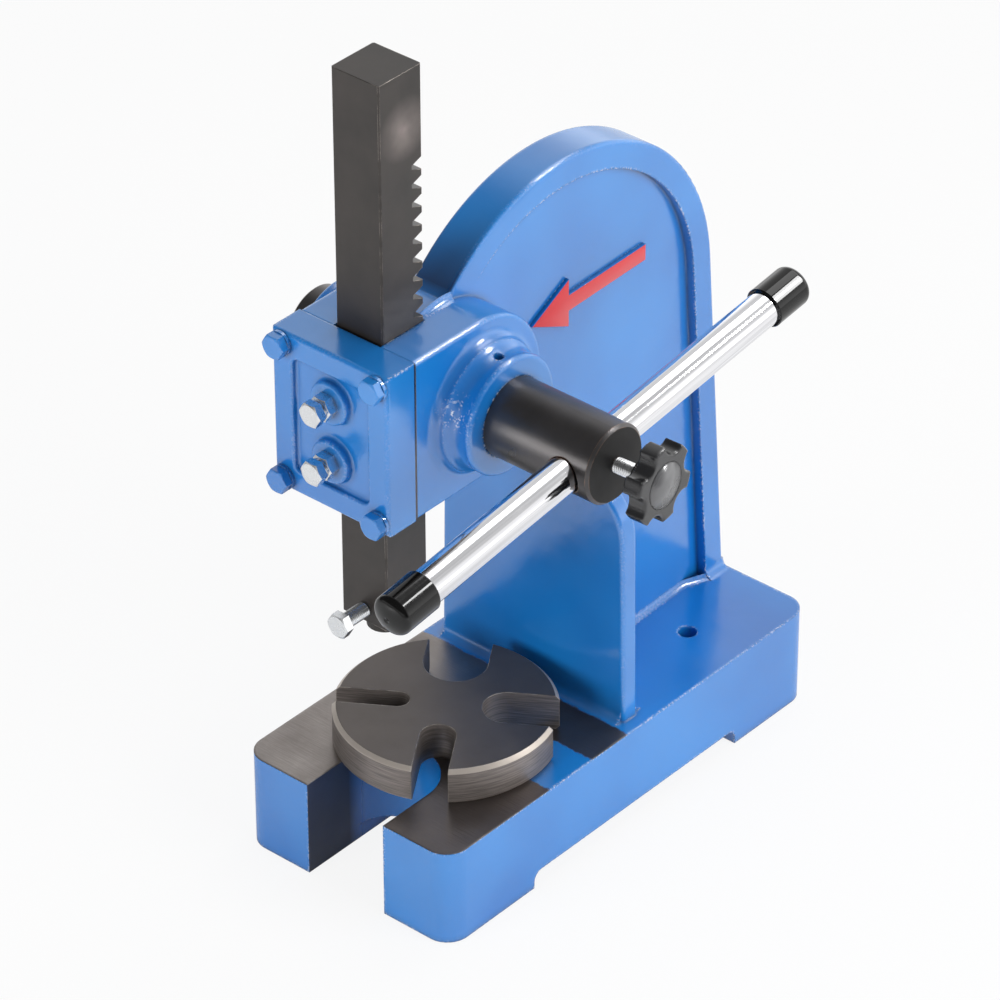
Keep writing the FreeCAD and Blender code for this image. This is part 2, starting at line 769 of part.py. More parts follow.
def make_frame():
    body = new_body("frame")
    frame_base(body)
    frame_column(body)
    frame_head(body)
    round_edges(body, "WebEdges", d.edge_radius, web_edge)
    round_edges(body, "FlangeEdges", d.edge_radius, flange_edge)
    frame_feet(body)
    frame_bores(body)
    return body


# ---------------------------------------------------------------- cover, gib and their screws

def make_cover():
    body = new_body("ram_cover")
    side = d.head_width / 2
    block = outline(body, "Block", "XZ_Plane", rectangle(-side, head_bottom, side, head_top),
                    at=(0, 0, -parting_y))
    pad(body, block, d.cover_depth)
    round_edges(body, "CoverEdges", d.edge_radius, cover_edge)
    rim = d.cover_rim
    field = outline(body, "Field", "XZ_Plane", rounded_rectangle(
        -side + rim, head_bottom + rim, side - rim, head_top - rim, d.cover_field_corner),
        at=(0, 0, -cover_front))
    pocket(body, field, d.cover_recess)
    round_edges(body, "FieldEdges", d.cover_fillet, field_edge)
    bosses = circles(body, "Bosses", "XZ_Plane", [
        (0, z, d.cover_boss / 2) for z in gib_screw_heights()], at=(0, 0, -cover_field))
    pad(body, bosses, d.cover_boss_height)
    round_edges(body, "BossEdges", d.cover_fillet, cover_boss_edge)
    half = d.gib_width / 2 + d.guide_clearance
    reach = d.gib_length / 2 + d.guide_clearance
    seat = outline(body, "GibSeat", "XZ_Plane", rectangle(
        -half, pinion_z - reach, half, pinion_z + reach), at=(0, 0, -parting_y))
    pocket(body, seat, parting_y - gib_front + d.end_clearance, backwards=True)
    holes = circles(body, "GibScrewHoles", "XZ_Plane", [
        (0, z, screw_radius + d.screw_clearance) for z in gib_screw_heights()],
        at=(0, 0, -cover_boss_face))
    pocket(body, holes, d.cover_depth)
    bolts = circles(body, "BoltHoles", "XZ_Plane", [
        (x, z, screw_radius + d.screw_hole_clearance) for x, z in cover_bolt_places()],
        at=(0, 0, -cover_front))
    pocket(body, bolts, d.cover_depth)
    return body


def cover_edge(edge):
    """The edges of the cover's front face and its two upright front corners."""
    return lies_on(edge, "Y", cover_front)


def field_edge(edge):
    """The edges of the cover's recessed field, at its rim and at its floor."""
    inside = number(d.head_width / 2 - d.cover_rim)
    box = edge.BoundBox
    if max(box.XMax, -box.XMin) > inside + d.cover_fillet.value / 10:
        return False
    return lies_on(edge, "Y", cover_front) or lies_on(edge, "Y", cover_field)


def cover_boss_edge(edge):
    """The root and the outer edge of the two gib screw bosses."""
    if abs(edge.BoundBox.XLength - d.cover_boss.value) > d.cover_fillet.value / 10:
        return False
    return lies_on(edge, "Y", cover_boss_face) or lies_on(edge, "Y", cover_field)


def gib_screw_heights():
    half = d.gib_screw_spacing / 2
    return [pinion_z + half, pinion_z - half]


def hex_bolt(name, grip, seat):
    """A bolt whose head stands on the -Y side of its seat."""
    head = hexagon(name + "_head", d.hex_head)
    shank = cylinder(name + "_shank", screw_radius, grip, (0, 0, -grip))
    bolt = join(name, [head, shank])
    return put(bolt, seat, **FORWARD)


def ring(name, outer, thickness, seat):
    """A nut or washer round a screw, standing on the -Y side of its seat."""
    hole = cylinder(name + "_hole", screw_radius + d.bore_clearance, thickness)
    return put(cut(name, outer, hole), seat, **FORWARD)


def make_cover_screws():
    seat_y = cover_front - d.washer_thickness
    grip = parting_y - seat_y + d.cover_bolt_grip
    bolts = []
    washers = []
    for count, (x, z) in enumerate(cover_bolt_places(), start=1):
        bolts.append(hex_bolt(f"cover_bolt_{count}", grip, (x, seat_y, z)))
        disc = cylinder(f"washer_{count}_disc", d.washer_diameter / 2, d.washer_thickness)
        washers.append(ring(f"washer_{count}", disc, d.washer_thickness, (x, cover_front, z)))
    return [group("cover_bolts", bolts), group("cover_washers", washers)]


def make_gib():
    gib = doc.addObject("Part::Box", "gib_strip")
    bind(gib, "Length", d.gib_width)
    bind(gib, "Width", d.gib_thickness)
    bind(gib, "Height", d.gib_length)
    put(gib, (-d.gib_width / 2, gib_front, pinion_z - d.gib_length / 2))
    gib.Label = "gib_strip"
    seat_y = cover_boss_face - d.gib_screw_show
    screws = []
    nuts = []
    for count, z in enumerate(gib_screw_heights(), start=1):
        screws.append(hex_bolt(f"gib_screw_{count}", gib_front - seat_y, (0, seat_y, z)))
        block = hexagon(f"nut_{count}_block", d.nut_height)
        nuts.append(ring(f"nut_{count}", block, d.nut_height, (0, cover_boss_face, z)))
    return [gib, group("gib_screws", screws), group("gib_lock_nuts", nuts)]


# ---------------------------------------------------------------- ram and nose

def make_ram():
    body = new_body("ram")
    half = d.ram_side / 2
    flat = half - d.ram_edge
    square = outline(body, "Square", "XY_Plane", [
        (flat, -half), (half, -flat), (half, flat), (flat, half),
        (-flat, half), (-half, flat), (-half, -flat), (-flat, -half)],
        at=(0, ram_y, d.ram_rest))
    pad(body, square, d.ram_length)

    # Each gap has straight flanks; its outline starts a little outside the ram.
    slope = tangent(d.pressure_angle)
    outside = d.rack_module
    width = rack_pitch / 2
    mouth = width / 2 + (d.rack_module + outside) * slope
    floor = width / 2 - d.rack_module * 1.25 * slope
    depth = d.rack_module * 2.25
    lowest = lowest_gap()
    gap = outline(body, "Gap", "YZ_Plane", [
        (ram_back + outside, lowest - mouth),
        (ram_back + outside, lowest + mouth),
        (ram_back - depth, lowest + floor),
        (ram_back - depth, lowest - floor),
    ])
    first = pocket(body, gap, d.ram_side * 2, both_sides=True)
    rack = body.newObject("PartDesign::LinearPattern", "Rack")
    rack.Originals = [first]
    rack.Direction = (gap, ["V_Axis"])
    rack.Mode = "Spacing"
    rack.Occurrences = int(number(d.rack_gaps))
    bind(rack, "Offset", rack_pitch)
    bind(rack, "Occurrences", d.rack_gaps)
    body.Tip = rack
    doc.recompute()

    bore = circles(body, "NoseBore", "XY_Plane", [
        (0, ram_y, d.nose_diameter / 2 + d.bore_clearance)], at=(0, 0, d.ram_rest))
    pocket(body, bore, d.nose_depth, backwards=True)
    hole = circles(body, "NoseBoltHole", "XZ_Plane", [
        (0, nose_bolt_z(), screw_radius + d.screw_clearance)], at=(0, 0, -ram_face))
    pocket(body, hole, half)
    return body


def lowest_gap():
    """Height of the lowest rack gap: whole pitches below the highest one."""
    space = number(d.ram_rest + d.ram_length - d.ram_plain_top - pinion_z - d.rack_phase)
    above = int(space / number(rack_pitch))
    return pinion_z + d.rack_phase + rack_pitch * (above + 1 - d.rack_gaps)


def nose_bolt_z():
    return d.ram_rest + d.nose_bolt_height


def make_nose():
    nose = cylinder("ram_nose", d.nose_diameter / 2, d.nose_depth + d.nose_show,
                    (0, ram_y, d.ram_rest - d.nose_show))
    nose.Label = "ram_nose"
    seat_y = ram_face - d.nose_bolt_show
    tip_y = ram_y - d.nose_diameter / 2
    bolt = hex_bolt("nose_bolt", tip_y - seat_y, (0, seat_y, nose_bolt_z()))
    return [nose, bolt]


# ---------------------------------------------------------------- pinion shaft and collar

def tooth_gap():
    """The section of one gap between pinion teeth, open to -Y, round the shaft's axis."""
    base_radius = number(pitch_radius) * math.cos(math.radians(number(d.pressure_angle)))
    root_radius = number(pitch_radius - (1.25 - d.pinion_shift) * d.rack_module)
    outer_radius = number(shaft_radius)
    flank = math.radians(number(d.pressure_angle))
    involute = math.tan(flank) - flank
    thickness = number(rack_pitch / 2 + 2 * d.pinion_shift * d.rack_module
                       * tangent(d.pressure_angle) - d.tooth_play)
    half_tooth = thickness / (2 * number(pitch_radius))
    half_pitch = math.pi / number(d.pinion_teeth)

    def flank_point(radius, side):
        angle = math.acos(base_radius / radius)
        half_gap = half_pitch - half_tooth - involute + (math.tan(angle) - angle)
        turn = math.pi + side * half_gap
        return Vector(0, radius * math.cos(turn), radius * math.sin(turn))

    middle_radius = (base_radius + outer_radius) / 2
    foot = half_pitch - half_tooth - involute
    low, high = [Vector(0, root_radius * math.cos(math.pi + side * foot),
                        root_radius * math.sin(math.pi + side * foot)) for side in (-1, 1)]
    bottom = Vector(0, -root_radius, 0)
    beyond = outer_radius * 1.2
    tips = [flank_point(outer_radius, side) for side in (-1, 1)]
    outs = [tip * (beyond / outer_radius) for tip in tips]
    edges = [
        Part.Arc(low, bottom, high).toShape(),
        Part.LineSegment(high, flank_point(base_radius, 1)).toShape(),
        Part.Arc(flank_point(base_radius, 1), flank_point(middle_radius, 1), tips[1]).toShape(),
        Part.LineSegment(tips[1], outs[1]).toShape(),
        Part.LineSegment(outs[1], outs[0]).toShape(),
        Part.LineSegment(outs[0], tips[0]).toShape(),
        Part.Arc(tips[0], flank_point(middle_radius, -1), flank_point(base_radius, -1)).toShape(),
        Part.LineSegment(flank_point(base_radius, -1), low).toShape(),
    ]
    return Part.Face(Part.Wire(edges))


def make_tooth_gaps():
    """All gaps between the teeth, which no primitive or sketch draws: their flanks are involutes."""
    count = int(number(d.pinion_teeth))
    axis = Vector(1, 0, 0)
    rest = -math.degrees(number(d.rack_phase) / number(pitch_radius))
    width = number(tooth_half_width)
    gap = tooth_gap().extrude(axis * (2 * width))
    gap.translate(axis * -width)
    gaps = []
    for index in range(count):
        turned = gap.copy()
        turned.rotate(Vector(), axis, rest + (index + 0.5) * 360 / count)
        gaps.append(turned)
    feature = doc.addObject("Part::Feature", "tooth_gaps")
    feature.Shape = Part.makeCompound(gaps)
    return put(feature, (0, pinion_y, pinion_z))


def make_pinion_shaft():
    body = new_body("shaft_blank")
    chamfer = d.hub_chamfer
    blank = outline(body, "Blank", "XZ_Plane", [
        (collar_outer_x, 0),
        (d.hub_end, 0),
        (d.hub_end, shaft_radius - chamfer),
        (d.hub_end - chamfer, shaft_radius),
        (shoulder_x, shaft_radius),
        (shoulder_x, journal_radius),
        (collar_outer_x + chamfer, journal_radius),
        (collar_outer_x, journal_radius - chamfer),
    ], at=(0, pinion_z, -pinion_y))
    revolve(body, blank, "H_Axis")
    slack = d.lever_hole / 2 - d.lever_diameter / 2 - d.screw_clearance
    x, y, z = lever_point(-d.shaft_diameter)
    cross = cylinder("cross_hole", d.lever_hole / 2, d.shaft_diameter * 2,
                     (x + slack, y, z), Vector(-1, 0, 0), 90 - d.lever_angle)
    stud = stud_solid("stud_hole", screw_radius + d.bore_clearance, Size(0, "0"),
                      d.hub_end - d.lever_plane + d.hub_chamfer)
    tools = doc.addObject("Part::Compound", "shaft_cutters")
    tools.Links = [make_tooth_gaps(), cross, stud]
    return cut("pinion_shaft", body, tools)


def lever_point(along):
    """A point on the lever's axis, `along` millimetres behind the pinion axis."""
    return (d.lever_plane, pinion_y + along * cosine(d.lever_angle),
            pinion_z + along * sine(d.lever_angle))


def make_collar():
    body = new_body("collar_blank")
    inner = journal_radius + d.bore_clearance
    bevel = d.collar_chamfer
    blank = outline(body, "Collar", "XZ_Plane", [
        (collar_outer_x, inner),
        (collar_inner_x, inner),
        (collar_inner_x, shaft_radius - bevel),
        (collar_inner_x - bevel, shaft_radius),
        (collar_outer_x + bevel, shaft_radius),
        (collar_outer_x, shaft_radius - bevel),
    ], at=(0, pinion_z, -pinion_y))
    revolve(body, blank, "H_Axis")
    middle = collar_inner_x - d.collar_width / 2
    back = dict(turn_axis=Vector(-1, 0, 0), turn=90)
    hole = cylinder("collar_screw_hole", d.collar_screw_diameter / 2 + d.screw_clearance,
                    shaft_radius, (middle, pinion_y, pinion_z), **back)
    collar = cut("shaft_collar", body, hole)
    screw = cylinder("collar_screw", d.collar_screw_diameter / 2,
                     shaft_radius - journal_radius - d.collar_chamfer,
                     (middle, pinion_y + journal_radius, pinion_z), **back)
    screw.Label = "collar_screw"
    return [collar, screw]


# ---------------------------------------------------------------- lever bar, caps and lock knob

def make_lever():
    bar = new_body("lever_bar")
    radius = d.lever_diameter / 2
    profile = outline(bar, "Bar", "XZ_Plane", [
        (0, 0),
        (radius - d.lever_chamfer, 0),
        (radius, d.lever_chamfer),
        (radius, d.lever_length - d.lever_chamfer),
        (radius - d.lever_chamfer, d.lever_length),
        (0, d.lever_length),
    ])
    revolve(bar, profile, "V_Axis")
    back = dict(turn_axis=Vector(-1, 0, 0), turn=90 - d.lever_angle)
    front = dict(turn_axis=Vector(1, 0, 0), turn=90 + d.lever_angle)
    near_end = d.lever_offset - d.lever_length / 2
    far_end = d.lever_offset + d.lever_length / 2
    put(bar, lever_point(near_end), **back)
    cap_front = put(lever_cap("lever_cap_front"), lever_point(near_end), **front)
    cap_rear = put(lever_cap("lever_cap_rear"), lever_point(far_end), **back)
    return [bar, cap_front, cap_rear]


def lever_cap(name):
    """A dipped vinyl cap with a crowned end; its local origin is the middle of the bar's end."""
    body = new_body(name)
    inner = d.lever_diameter / 2 + d.bore_clearance
    outer = d.lever_diameter / 2 + d.cap_wall
    depth = d.cap_length - d.cap_end
    slope = d.cap_crown_slope
    level = outer - d.cap_radius
    crown = d.cap_radius + level / sine(slope)
    shoulder = d.cap_end - crown + level / tangent(slope)
    profile = outline(body, name + "_profile", "XZ_Plane", [
        (0, 0),
        (inner, 0),
        (inner, -depth),
        (outer - d.cap_wall / 3, -depth),
        (outer, -depth + d.cap_wall / 3),
        (outer, shoulder),
        (level + d.cap_radius * sine(slope), shoulder + d.cap_radius * cosine(slope), d.cap_radius),
        (d.cap_dimple, d.cap_end, crown),
        (0, d.cap_end - d.cap_dimple / 3),
    ])
    revolve(body, profile, "V_Axis")
    return body


def on_stud(thing):
    """Place something that is drawn along its own X axis on the leaning axis of the lock stud."""
    return put(thing, (d.lever_plane, pinion_y, pinion_z), Vector(0, 0, 1), d.stud_lean)


def stud_solid(name, radius, start, length):
    """A cylinder along the stud's axis, from `start` millimetres outside the lever's axis."""
    solid = new_body(name)
    disc = circles(solid, name + "_disc", "YZ_Plane", [(0, 0, radius)], at=(0, 0, start))
    pad(solid, disc, length)
    return on_stud(solid)


def make_knob():
    knob = new_body("lock_knob")
    back = knob_back()
    neck = circles(knob, "Neck", "YZ_Plane", [(0, 0, d.knob_neck_diameter / 2)], at=(0, 0, back))
    pad(knob, neck, d.knob_neck + d.knob_thickness / 2)
    disc_start = back + d.knob_neck
    disc = circles(knob, "Disc", "YZ_Plane", [(0, 0, d.knob_diameter / 2)],
                   at=(0, 0, disc_start))
    pad(knob, disc, d.knob_thickness)
    turn = d.knob_phase + 180 / d.knob_lobes
    scallop = circles(knob, "Scallop", "YZ_Plane", [
        (d.scallop_centre * cosine(turn), d.scallop_centre * sine(turn), d.scallop_radius)],
        at=(0, 0, disc_start))
    first = pocket(knob, scallop, d.knob_thickness, backwards=True)
    lobes = knob.newObject("PartDesign::PolarPattern", "Lobes")
    lobes.Originals = [first]
    lobes.Axis = (scallop, ["N_Axis"])
    lobes.Angle = 360
    lobes.Occurrences = int(number(d.knob_lobes))
    bind(lobes, "Occurrences", d.knob_lobes)
    knob.Tip = lobes
    doc.recompute()
    round_edges(knob, "KnobEdges", d.knob_round, knob_edge)
    seat = circles(knob, "CapSeat", "YZ_Plane", [
        (0, 0, d.knob_cap_diameter / 2 + d.screw_clearance)], at=(0, 0, knob_face()))
    pocket(knob, seat, d.knob_cap_seat)
    hole = circles(knob, "StudHole", "YZ_Plane", [(0, 0, screw_radius + d.bore_clearance)],
                   at=(0, 0, back))
    pocket(knob, hole, stud_start() + d.stud_length - back, backwards=True)
    on_stud(knob)
    stud = stud_solid("knob_stud", screw_radius, stud_start(), d.stud_length)
    return [knob, stud, make_knob_cap()]


def stud_start():
    """The stud's end, just clear of the lever bar; measured from the lever's axis."""
    return d.lever_diameter / 2 + d.end_clearance


def knob_back():
    return d.hub_end - d.lever_plane + d.knob_gap


def knob_face():
    return knob_back() + d.knob_neck + d.knob_thickness


def knob_edge(edge):
    """The lobed outlines of the knob's two faces, and the corners of its lobes."""
    box = edge.BoundBox
    on_face = lies_on(edge, "X", knob_face()) or lies_on(edge, "X", knob_back() + d.knob_neck)
    reach = math.hypot(box.Center.y, box.Center.z)
    return on_face and reach > number(d.knob_neck_diameter) / 2


def make_knob_cap():
    """The shallow domed disc in the knob's face."""
    body = new_body("knob_cap")
    radius = d.knob_cap_diameter / 2
    rise = d.knob_cap_dome - d.knob_cap_seat
    sphere = (radius * radius + rise * rise) / (2 * rise)
    seat = knob_face() - d.knob_cap_seat
    profile = outline(body, "Dome", "XZ_Plane", [
        (seat, 0),
        (seat + d.knob_cap_dome, 0),
        (knob_face(), radius, sphere),
        (seat, radius),
    ])
    revolve(body, profile, "H_Axis")
    return on_stud(body)


# ---------------------------------------------------------------- arbor plate and its pin

def make_plate():
    body = new_body("arbor_plate")
    radius = d.plate_diameter / 2
    bevel = d.plate_chamfer
    rim = outline(body, "Rim", "XZ_Plane", [
        (0, d.base_height),
        (radius - bevel, d.base_height),
        (radius, d.base_height + bevel),
        (radius, plate_top - bevel),
        (radius - bevel, plate_top),
        (0, plate_top),
    ], at=(0, 0, -plate_y))
    revolve(body, rim, "V_Axis")
    widths = [d.plate_slot_three, d.plate_slot_four, d.plate_slot_one, d.plate_slot_two]
    for quarter, width in enumerate(widths):
        half = width / 2
        tip = d.plate_slot_tip
        slot = outline(body, f"Slot{quarter + 1}", "XY_Plane", [
            (radius + bevel, -half),
            (radius + bevel, half),
            (tip + half, half),
            (tip, 0, half),
            (tip + half, -half, half),
        ], at=(0, plate_y, plate_top), turn_axis=Vector(0, 0, 1), turn=d.plate_turn + 90 * quarter)
        pocket(body, slot, d.plate_thickness)
    seat = circles(body, "PinSeat", "XY_Plane", [
        (0, plate_y, d.pin_diameter / 2 + d.bore_clearance)], at=(0, 0, d.base_height))
    pocket(body, seat, d.pin_show + d.end_clearance, backwards=True)
    pin = cylinder("plate_pivot_pin", d.pin_diameter / 2, d.pin_depth + d.pin_show,
                   (0, plate_y, d.base_height - d.pin_depth))
    pin.Label = "plate_pivot_pin"
    return [body, pin]


# ---------------------------------------------------------------- build, check and write

nodes = [make_frame(), make_cover()]
nodes += make_cover_screws()
nodes += make_gib()
nodes += [make_ram()]
nodes += make_nose()
nodes += [make_pinion_shaft()]
nodes += make_collar()
nodes += make_lever()
nodes += make_knob()
nodes += make_plate()
doc.recompute()

for thing in doc.Objects:
    if "Invalid" in thing.State or "Error" in thing.State:
        raise RuntimeError(f"{thing.Label} is {thing.State}")
for node in nodes:
    if node.Shape.isNull() or not node.Shape.isValid():
        raise RuntimeError(f"{node.Label} has no valid shape")

os.makedirs("parts", exist_ok=True)
for node in nodes:
    node.Shape.exportStep(f"parts/{node.Label}.step")
    print(node.Label, "solids", len(node.Shape.Solids), "volume", round(node.Shape.Volume))
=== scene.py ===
import math
from collections import Counter

import bpy
from mathutils import Matrix, Vector


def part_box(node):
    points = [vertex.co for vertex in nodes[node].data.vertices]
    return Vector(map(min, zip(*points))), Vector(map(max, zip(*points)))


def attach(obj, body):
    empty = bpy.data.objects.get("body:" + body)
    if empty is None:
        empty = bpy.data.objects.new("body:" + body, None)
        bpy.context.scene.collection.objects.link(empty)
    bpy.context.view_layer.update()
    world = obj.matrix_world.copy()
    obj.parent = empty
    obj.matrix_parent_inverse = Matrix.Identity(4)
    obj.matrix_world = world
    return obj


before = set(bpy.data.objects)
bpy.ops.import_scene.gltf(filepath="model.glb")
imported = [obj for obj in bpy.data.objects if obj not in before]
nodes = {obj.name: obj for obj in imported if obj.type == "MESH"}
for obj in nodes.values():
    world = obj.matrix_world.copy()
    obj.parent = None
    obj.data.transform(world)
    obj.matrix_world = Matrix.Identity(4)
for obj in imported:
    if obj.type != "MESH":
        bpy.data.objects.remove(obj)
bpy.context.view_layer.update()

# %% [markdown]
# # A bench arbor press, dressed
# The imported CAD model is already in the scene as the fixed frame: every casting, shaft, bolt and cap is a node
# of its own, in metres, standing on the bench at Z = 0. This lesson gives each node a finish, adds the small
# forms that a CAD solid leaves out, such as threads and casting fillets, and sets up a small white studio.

print(len(nodes), "nodes:", ", ".join(sorted(nodes)))

# %% [markdown]
# ## The camera
# The press is seen from the front right and from above, through a long lens, so that upright lines stay almost
# parallel. A camera looks along its own -Z, so its three columns are right, up and the reverse of its sight.

# %% Camera
# Degrees: round the press from its front, down from level, and about the line of sight.
TURN, TILT, ROLL = 40.9435, 34.3330, -0.1623
CAMERA_PLACE = (1.632574, -1.998233, 1.894556)
LENS = 200.92
turn, tilt, roll = (math.radians(angle) for angle in (TURN, TILT, ROLL))
sight = Vector((-math.sin(turn) * math.cos(tilt), math.cos(turn) * math.cos(tilt), -math.sin(tilt)))
level = sight.cross(Vector((0, 0, 1))).normalized()
upright = level.cross(sight)
side = level * math.cos(roll) + upright * math.sin(roll)
top = upright * math.cos(roll) - level * math.sin(roll)
camera = bpy.data.objects.new("camera", bpy.data.cameras.new("camera"))
bpy.context.scene.collection.objects.link(camera)
camera.matrix_world = Matrix((side, top, -sight)).transposed().to_4x4()
camera.location = CAMERA_PLACE
camera.data.sensor_width = 36
camera.data.lens = LENS
camera.data.clip_end = 20
bpy.context.scene.camera = camera
print("camera at", tuple(round(v, 3) for v in camera.location))

# %% [markdown]
# ## The studio
# The object stands on white paper in a room of soft white light. The paper looks white to the camera, and the
# little shade it keeps grounds the object. Polished metal and gloss paint show the room itself, so the room
# has a shape: white at eye level and behind the press, a grey ceiling, and a dark part above the operator. An
# image of a real room would show as much, but a few ramps over the direction do it in nodes alone.

# %% World nodes in one call each
scene = bpy.context.scene
scene.view_settings.view_transform = "Standard"
world = bpy.data.worlds.new("studio")
world.use_nodes = True
scene.world = world
tree = world.node_tree
tree.nodes.clear()


def node(kind, **values):
    """Adds a node to the tree in hand and sets its sockets by number or name."""
    made = tree.nodes.new("ShaderNode" + kind)
    for name, value in values.items():
        socket = made.inputs[int(name[1:]) if name[1:].isdigit() else name.replace("_", " ")]
        if isinstance(value, bpy.types.NodeSocket):
            tree.links.new(value, socket)
        else:
            socket.default_value = value
    return made


def combine(kind, first, second):
    """Two numbers put together by a Math node of the kind."""
    made = node("Math", i0=first, i1=second)
    made.operation = kind
    return made.outputs[0]


def ramp(value, low, high, first, last):
    """Value from low to high eases from first to last."""
    made = node("MapRange", Value=value, From_Min=low, From_Max=high, To_Min=first, To_Max=last)
    made.interpolation_type = "SMOOTHSTEP"
    return made.outputs[0]


# %% World
way = node("SeparateXYZ", i0=node("TexCoord").outputs["Generated"])
path = node("LightPath")
behind = ramp(way.outputs["Y"], 0.05, 0.6, 0, 1.55)
ceiling = ramp(way.outputs["Z"], 0.08, 0.6, 1, 0.48)
before = ramp(way.outputs["Y"], -0.7, -0.2, 0.75, 0)
horizon = combine("MULTIPLY", before, ramp(way.outputs["Z"], 0.12, 0.3, 1, 0))
room = combine("ADD", combine("MULTIPLY", behind, ceiling), combine("MAXIMUM", horizon, 0.1))
shown = combine("MAXIMUM", room, path.outputs["Is Camera Ray"])
direct = combine("ADD", path.outputs["Is Camera Ray"], path.outputs["Is Glossy Ray"])
direct = combine("ADD", direct, path.outputs["Is Transmission Ray"])
white = node("Background", Color=(1, 1, 1, 1), Strength=shown)
strength = ramp(way.outputs["Y"], -0.6, 0.4, 0.34, 0.60)
soft = node("Background", Color=(0.97, 0.985, 1, 1), Strength=strength)
blend = node("MixShader", i0=direct, i1=soft.outputs[0], i2=white.outputs[0])
node("OutputWorld", i0=blend.outputs[0])
print("world nodes:", len(tree.nodes))

# %% [markdown]
# ## The lamps
# A product studio uses soft boxes: large square lights that give wide, gentle shadows. An area lamp is one. The
# key stands to the right and behind, a weaker one in front lifts the cover, and one above lights the top faces.


# %% Soft boxes that light the press
def soft_box(name, place, aim, size, watts):
    """A square area lamp at a place, facing a point."""
    lamp = bpy.data.lights.new(name, "AREA")
    lamp.shape = "SQUARE"
    lamp.size = size
    lamp.energy = watts
    made = bpy.data.objects.new(name, lamp)
    scene.collection.objects.link(made)
    made.location = place
    made.rotation_euler = (Vector(aim) - Vector(place)).to_track_quat("-Z", "Y").to_euler()
    return made


MIDDLE = (0, -0.1, 0.25)
key_box = soft_box("key_box", (1.9, 0.25, 0.95), MIDDLE, 1.5, 28)
front_box = soft_box("front_box", (-0.35, -2.0, 0.55), MIDDLE, 0.9, 17)
for made in (key_box, front_box):
    made.visible_glossy = False
soft_box("top_box", (0.0, 0.85, 1.75), MIDDLE, 0.9, 5.5)

# %% [markdown]
# ## Boxes that only show in gloss
# Gloss is read from what it mirrors. A small strong box strikes sparks from the edges, a larger one, linked to
# the lever's caps alone, draws their bright window, and the last lays a soft band along the dark hub. None of
# the three lights a matt surface, so the colours stay as they are.

# %% Soft boxes for gloss
LEVER = (0.11, 0.0, 0.33)
spark_box = soft_box("spark_box", (0.86, 0.7, 1.3), LEVER, 0.16, 7)
window_box = soft_box("window_box", (0.76, 0.58, 1.14), LEVER, 0.62, 26)
hub_box = soft_box("hub_box", (-0.77, -1.52, 0.22), (0.09, -0.18, 0.30), 0.7, 5)
for made in (spark_box, window_box, hub_box):
    made.visible_diffuse = False
CAPS = ("lever_cap_front", "lever_cap_rear")
for lamp, lit in ((window_box, CAPS), (hub_box, ("pinion_shaft",))):
    lamp.light_linking.receiver_collection = bpy.data.collections.new("lit_by_" + lamp.name)
    for name in lit:
        lamp.light_linking.receiver_collection.objects.link(nodes[name])
    print(lamp.name, "lights only", lit)

# %% [markdown]
# ## The paper
# A white plane a hair below the feet takes the shadow. It glows for the camera, so that it meets the white
# world without a horizon, and also in mirrors, but only from where the press stands on backwards, because the
# near floor looks dark in chrome.

# %% Floor
bpy.ops.object.select_all(action="DESELECT")
bpy.ops.mesh.primitive_plane_add(size=40, location=(0, 0, -0.0006))
floor = bpy.context.object
floor.name = "floor"
paper = bpy.data.materials.new("paper")
paper.use_nodes = True
tree = paper.node_tree
tree.nodes.clear()
matt = node("BsdfDiffuse", Color=(0.93, 0.93, 0.93, 1))
glow = node("Emission", Strength=1.0)
path = node("LightPath")
spot = node("SeparateXYZ", i0=node("TexCoord").outputs["Object"])
far = ramp(spot.outputs["Y"], -0.4, 0.5, 0, 0.95)
mirrored = combine("MULTIPLY", path.outputs["Is Glossy Ray"], far)
seen = combine("MAXIMUM", path.outputs["Is Camera Ray"], path.outputs["Is Transmission Ray"])
share = combine("ADD", combine("MULTIPLY", seen, 0.88), mirrored)
blend = node("MixShader", i0=share, i1=matt.outputs[0], i2=glow.outputs[0])
node("OutputMaterial", i0=blend.outputs[0])
floor.data.materials.append(paper)
print("floor nodes:", len(tree.nodes))

# %% [markdown]
# ## A short way to write finishes
# Every finish is the same shader with different nodes before it, so a small class that adds a node and links it
# in one call keeps each recipe readable. All patterns read Object coordinates, which are metres on this frame.


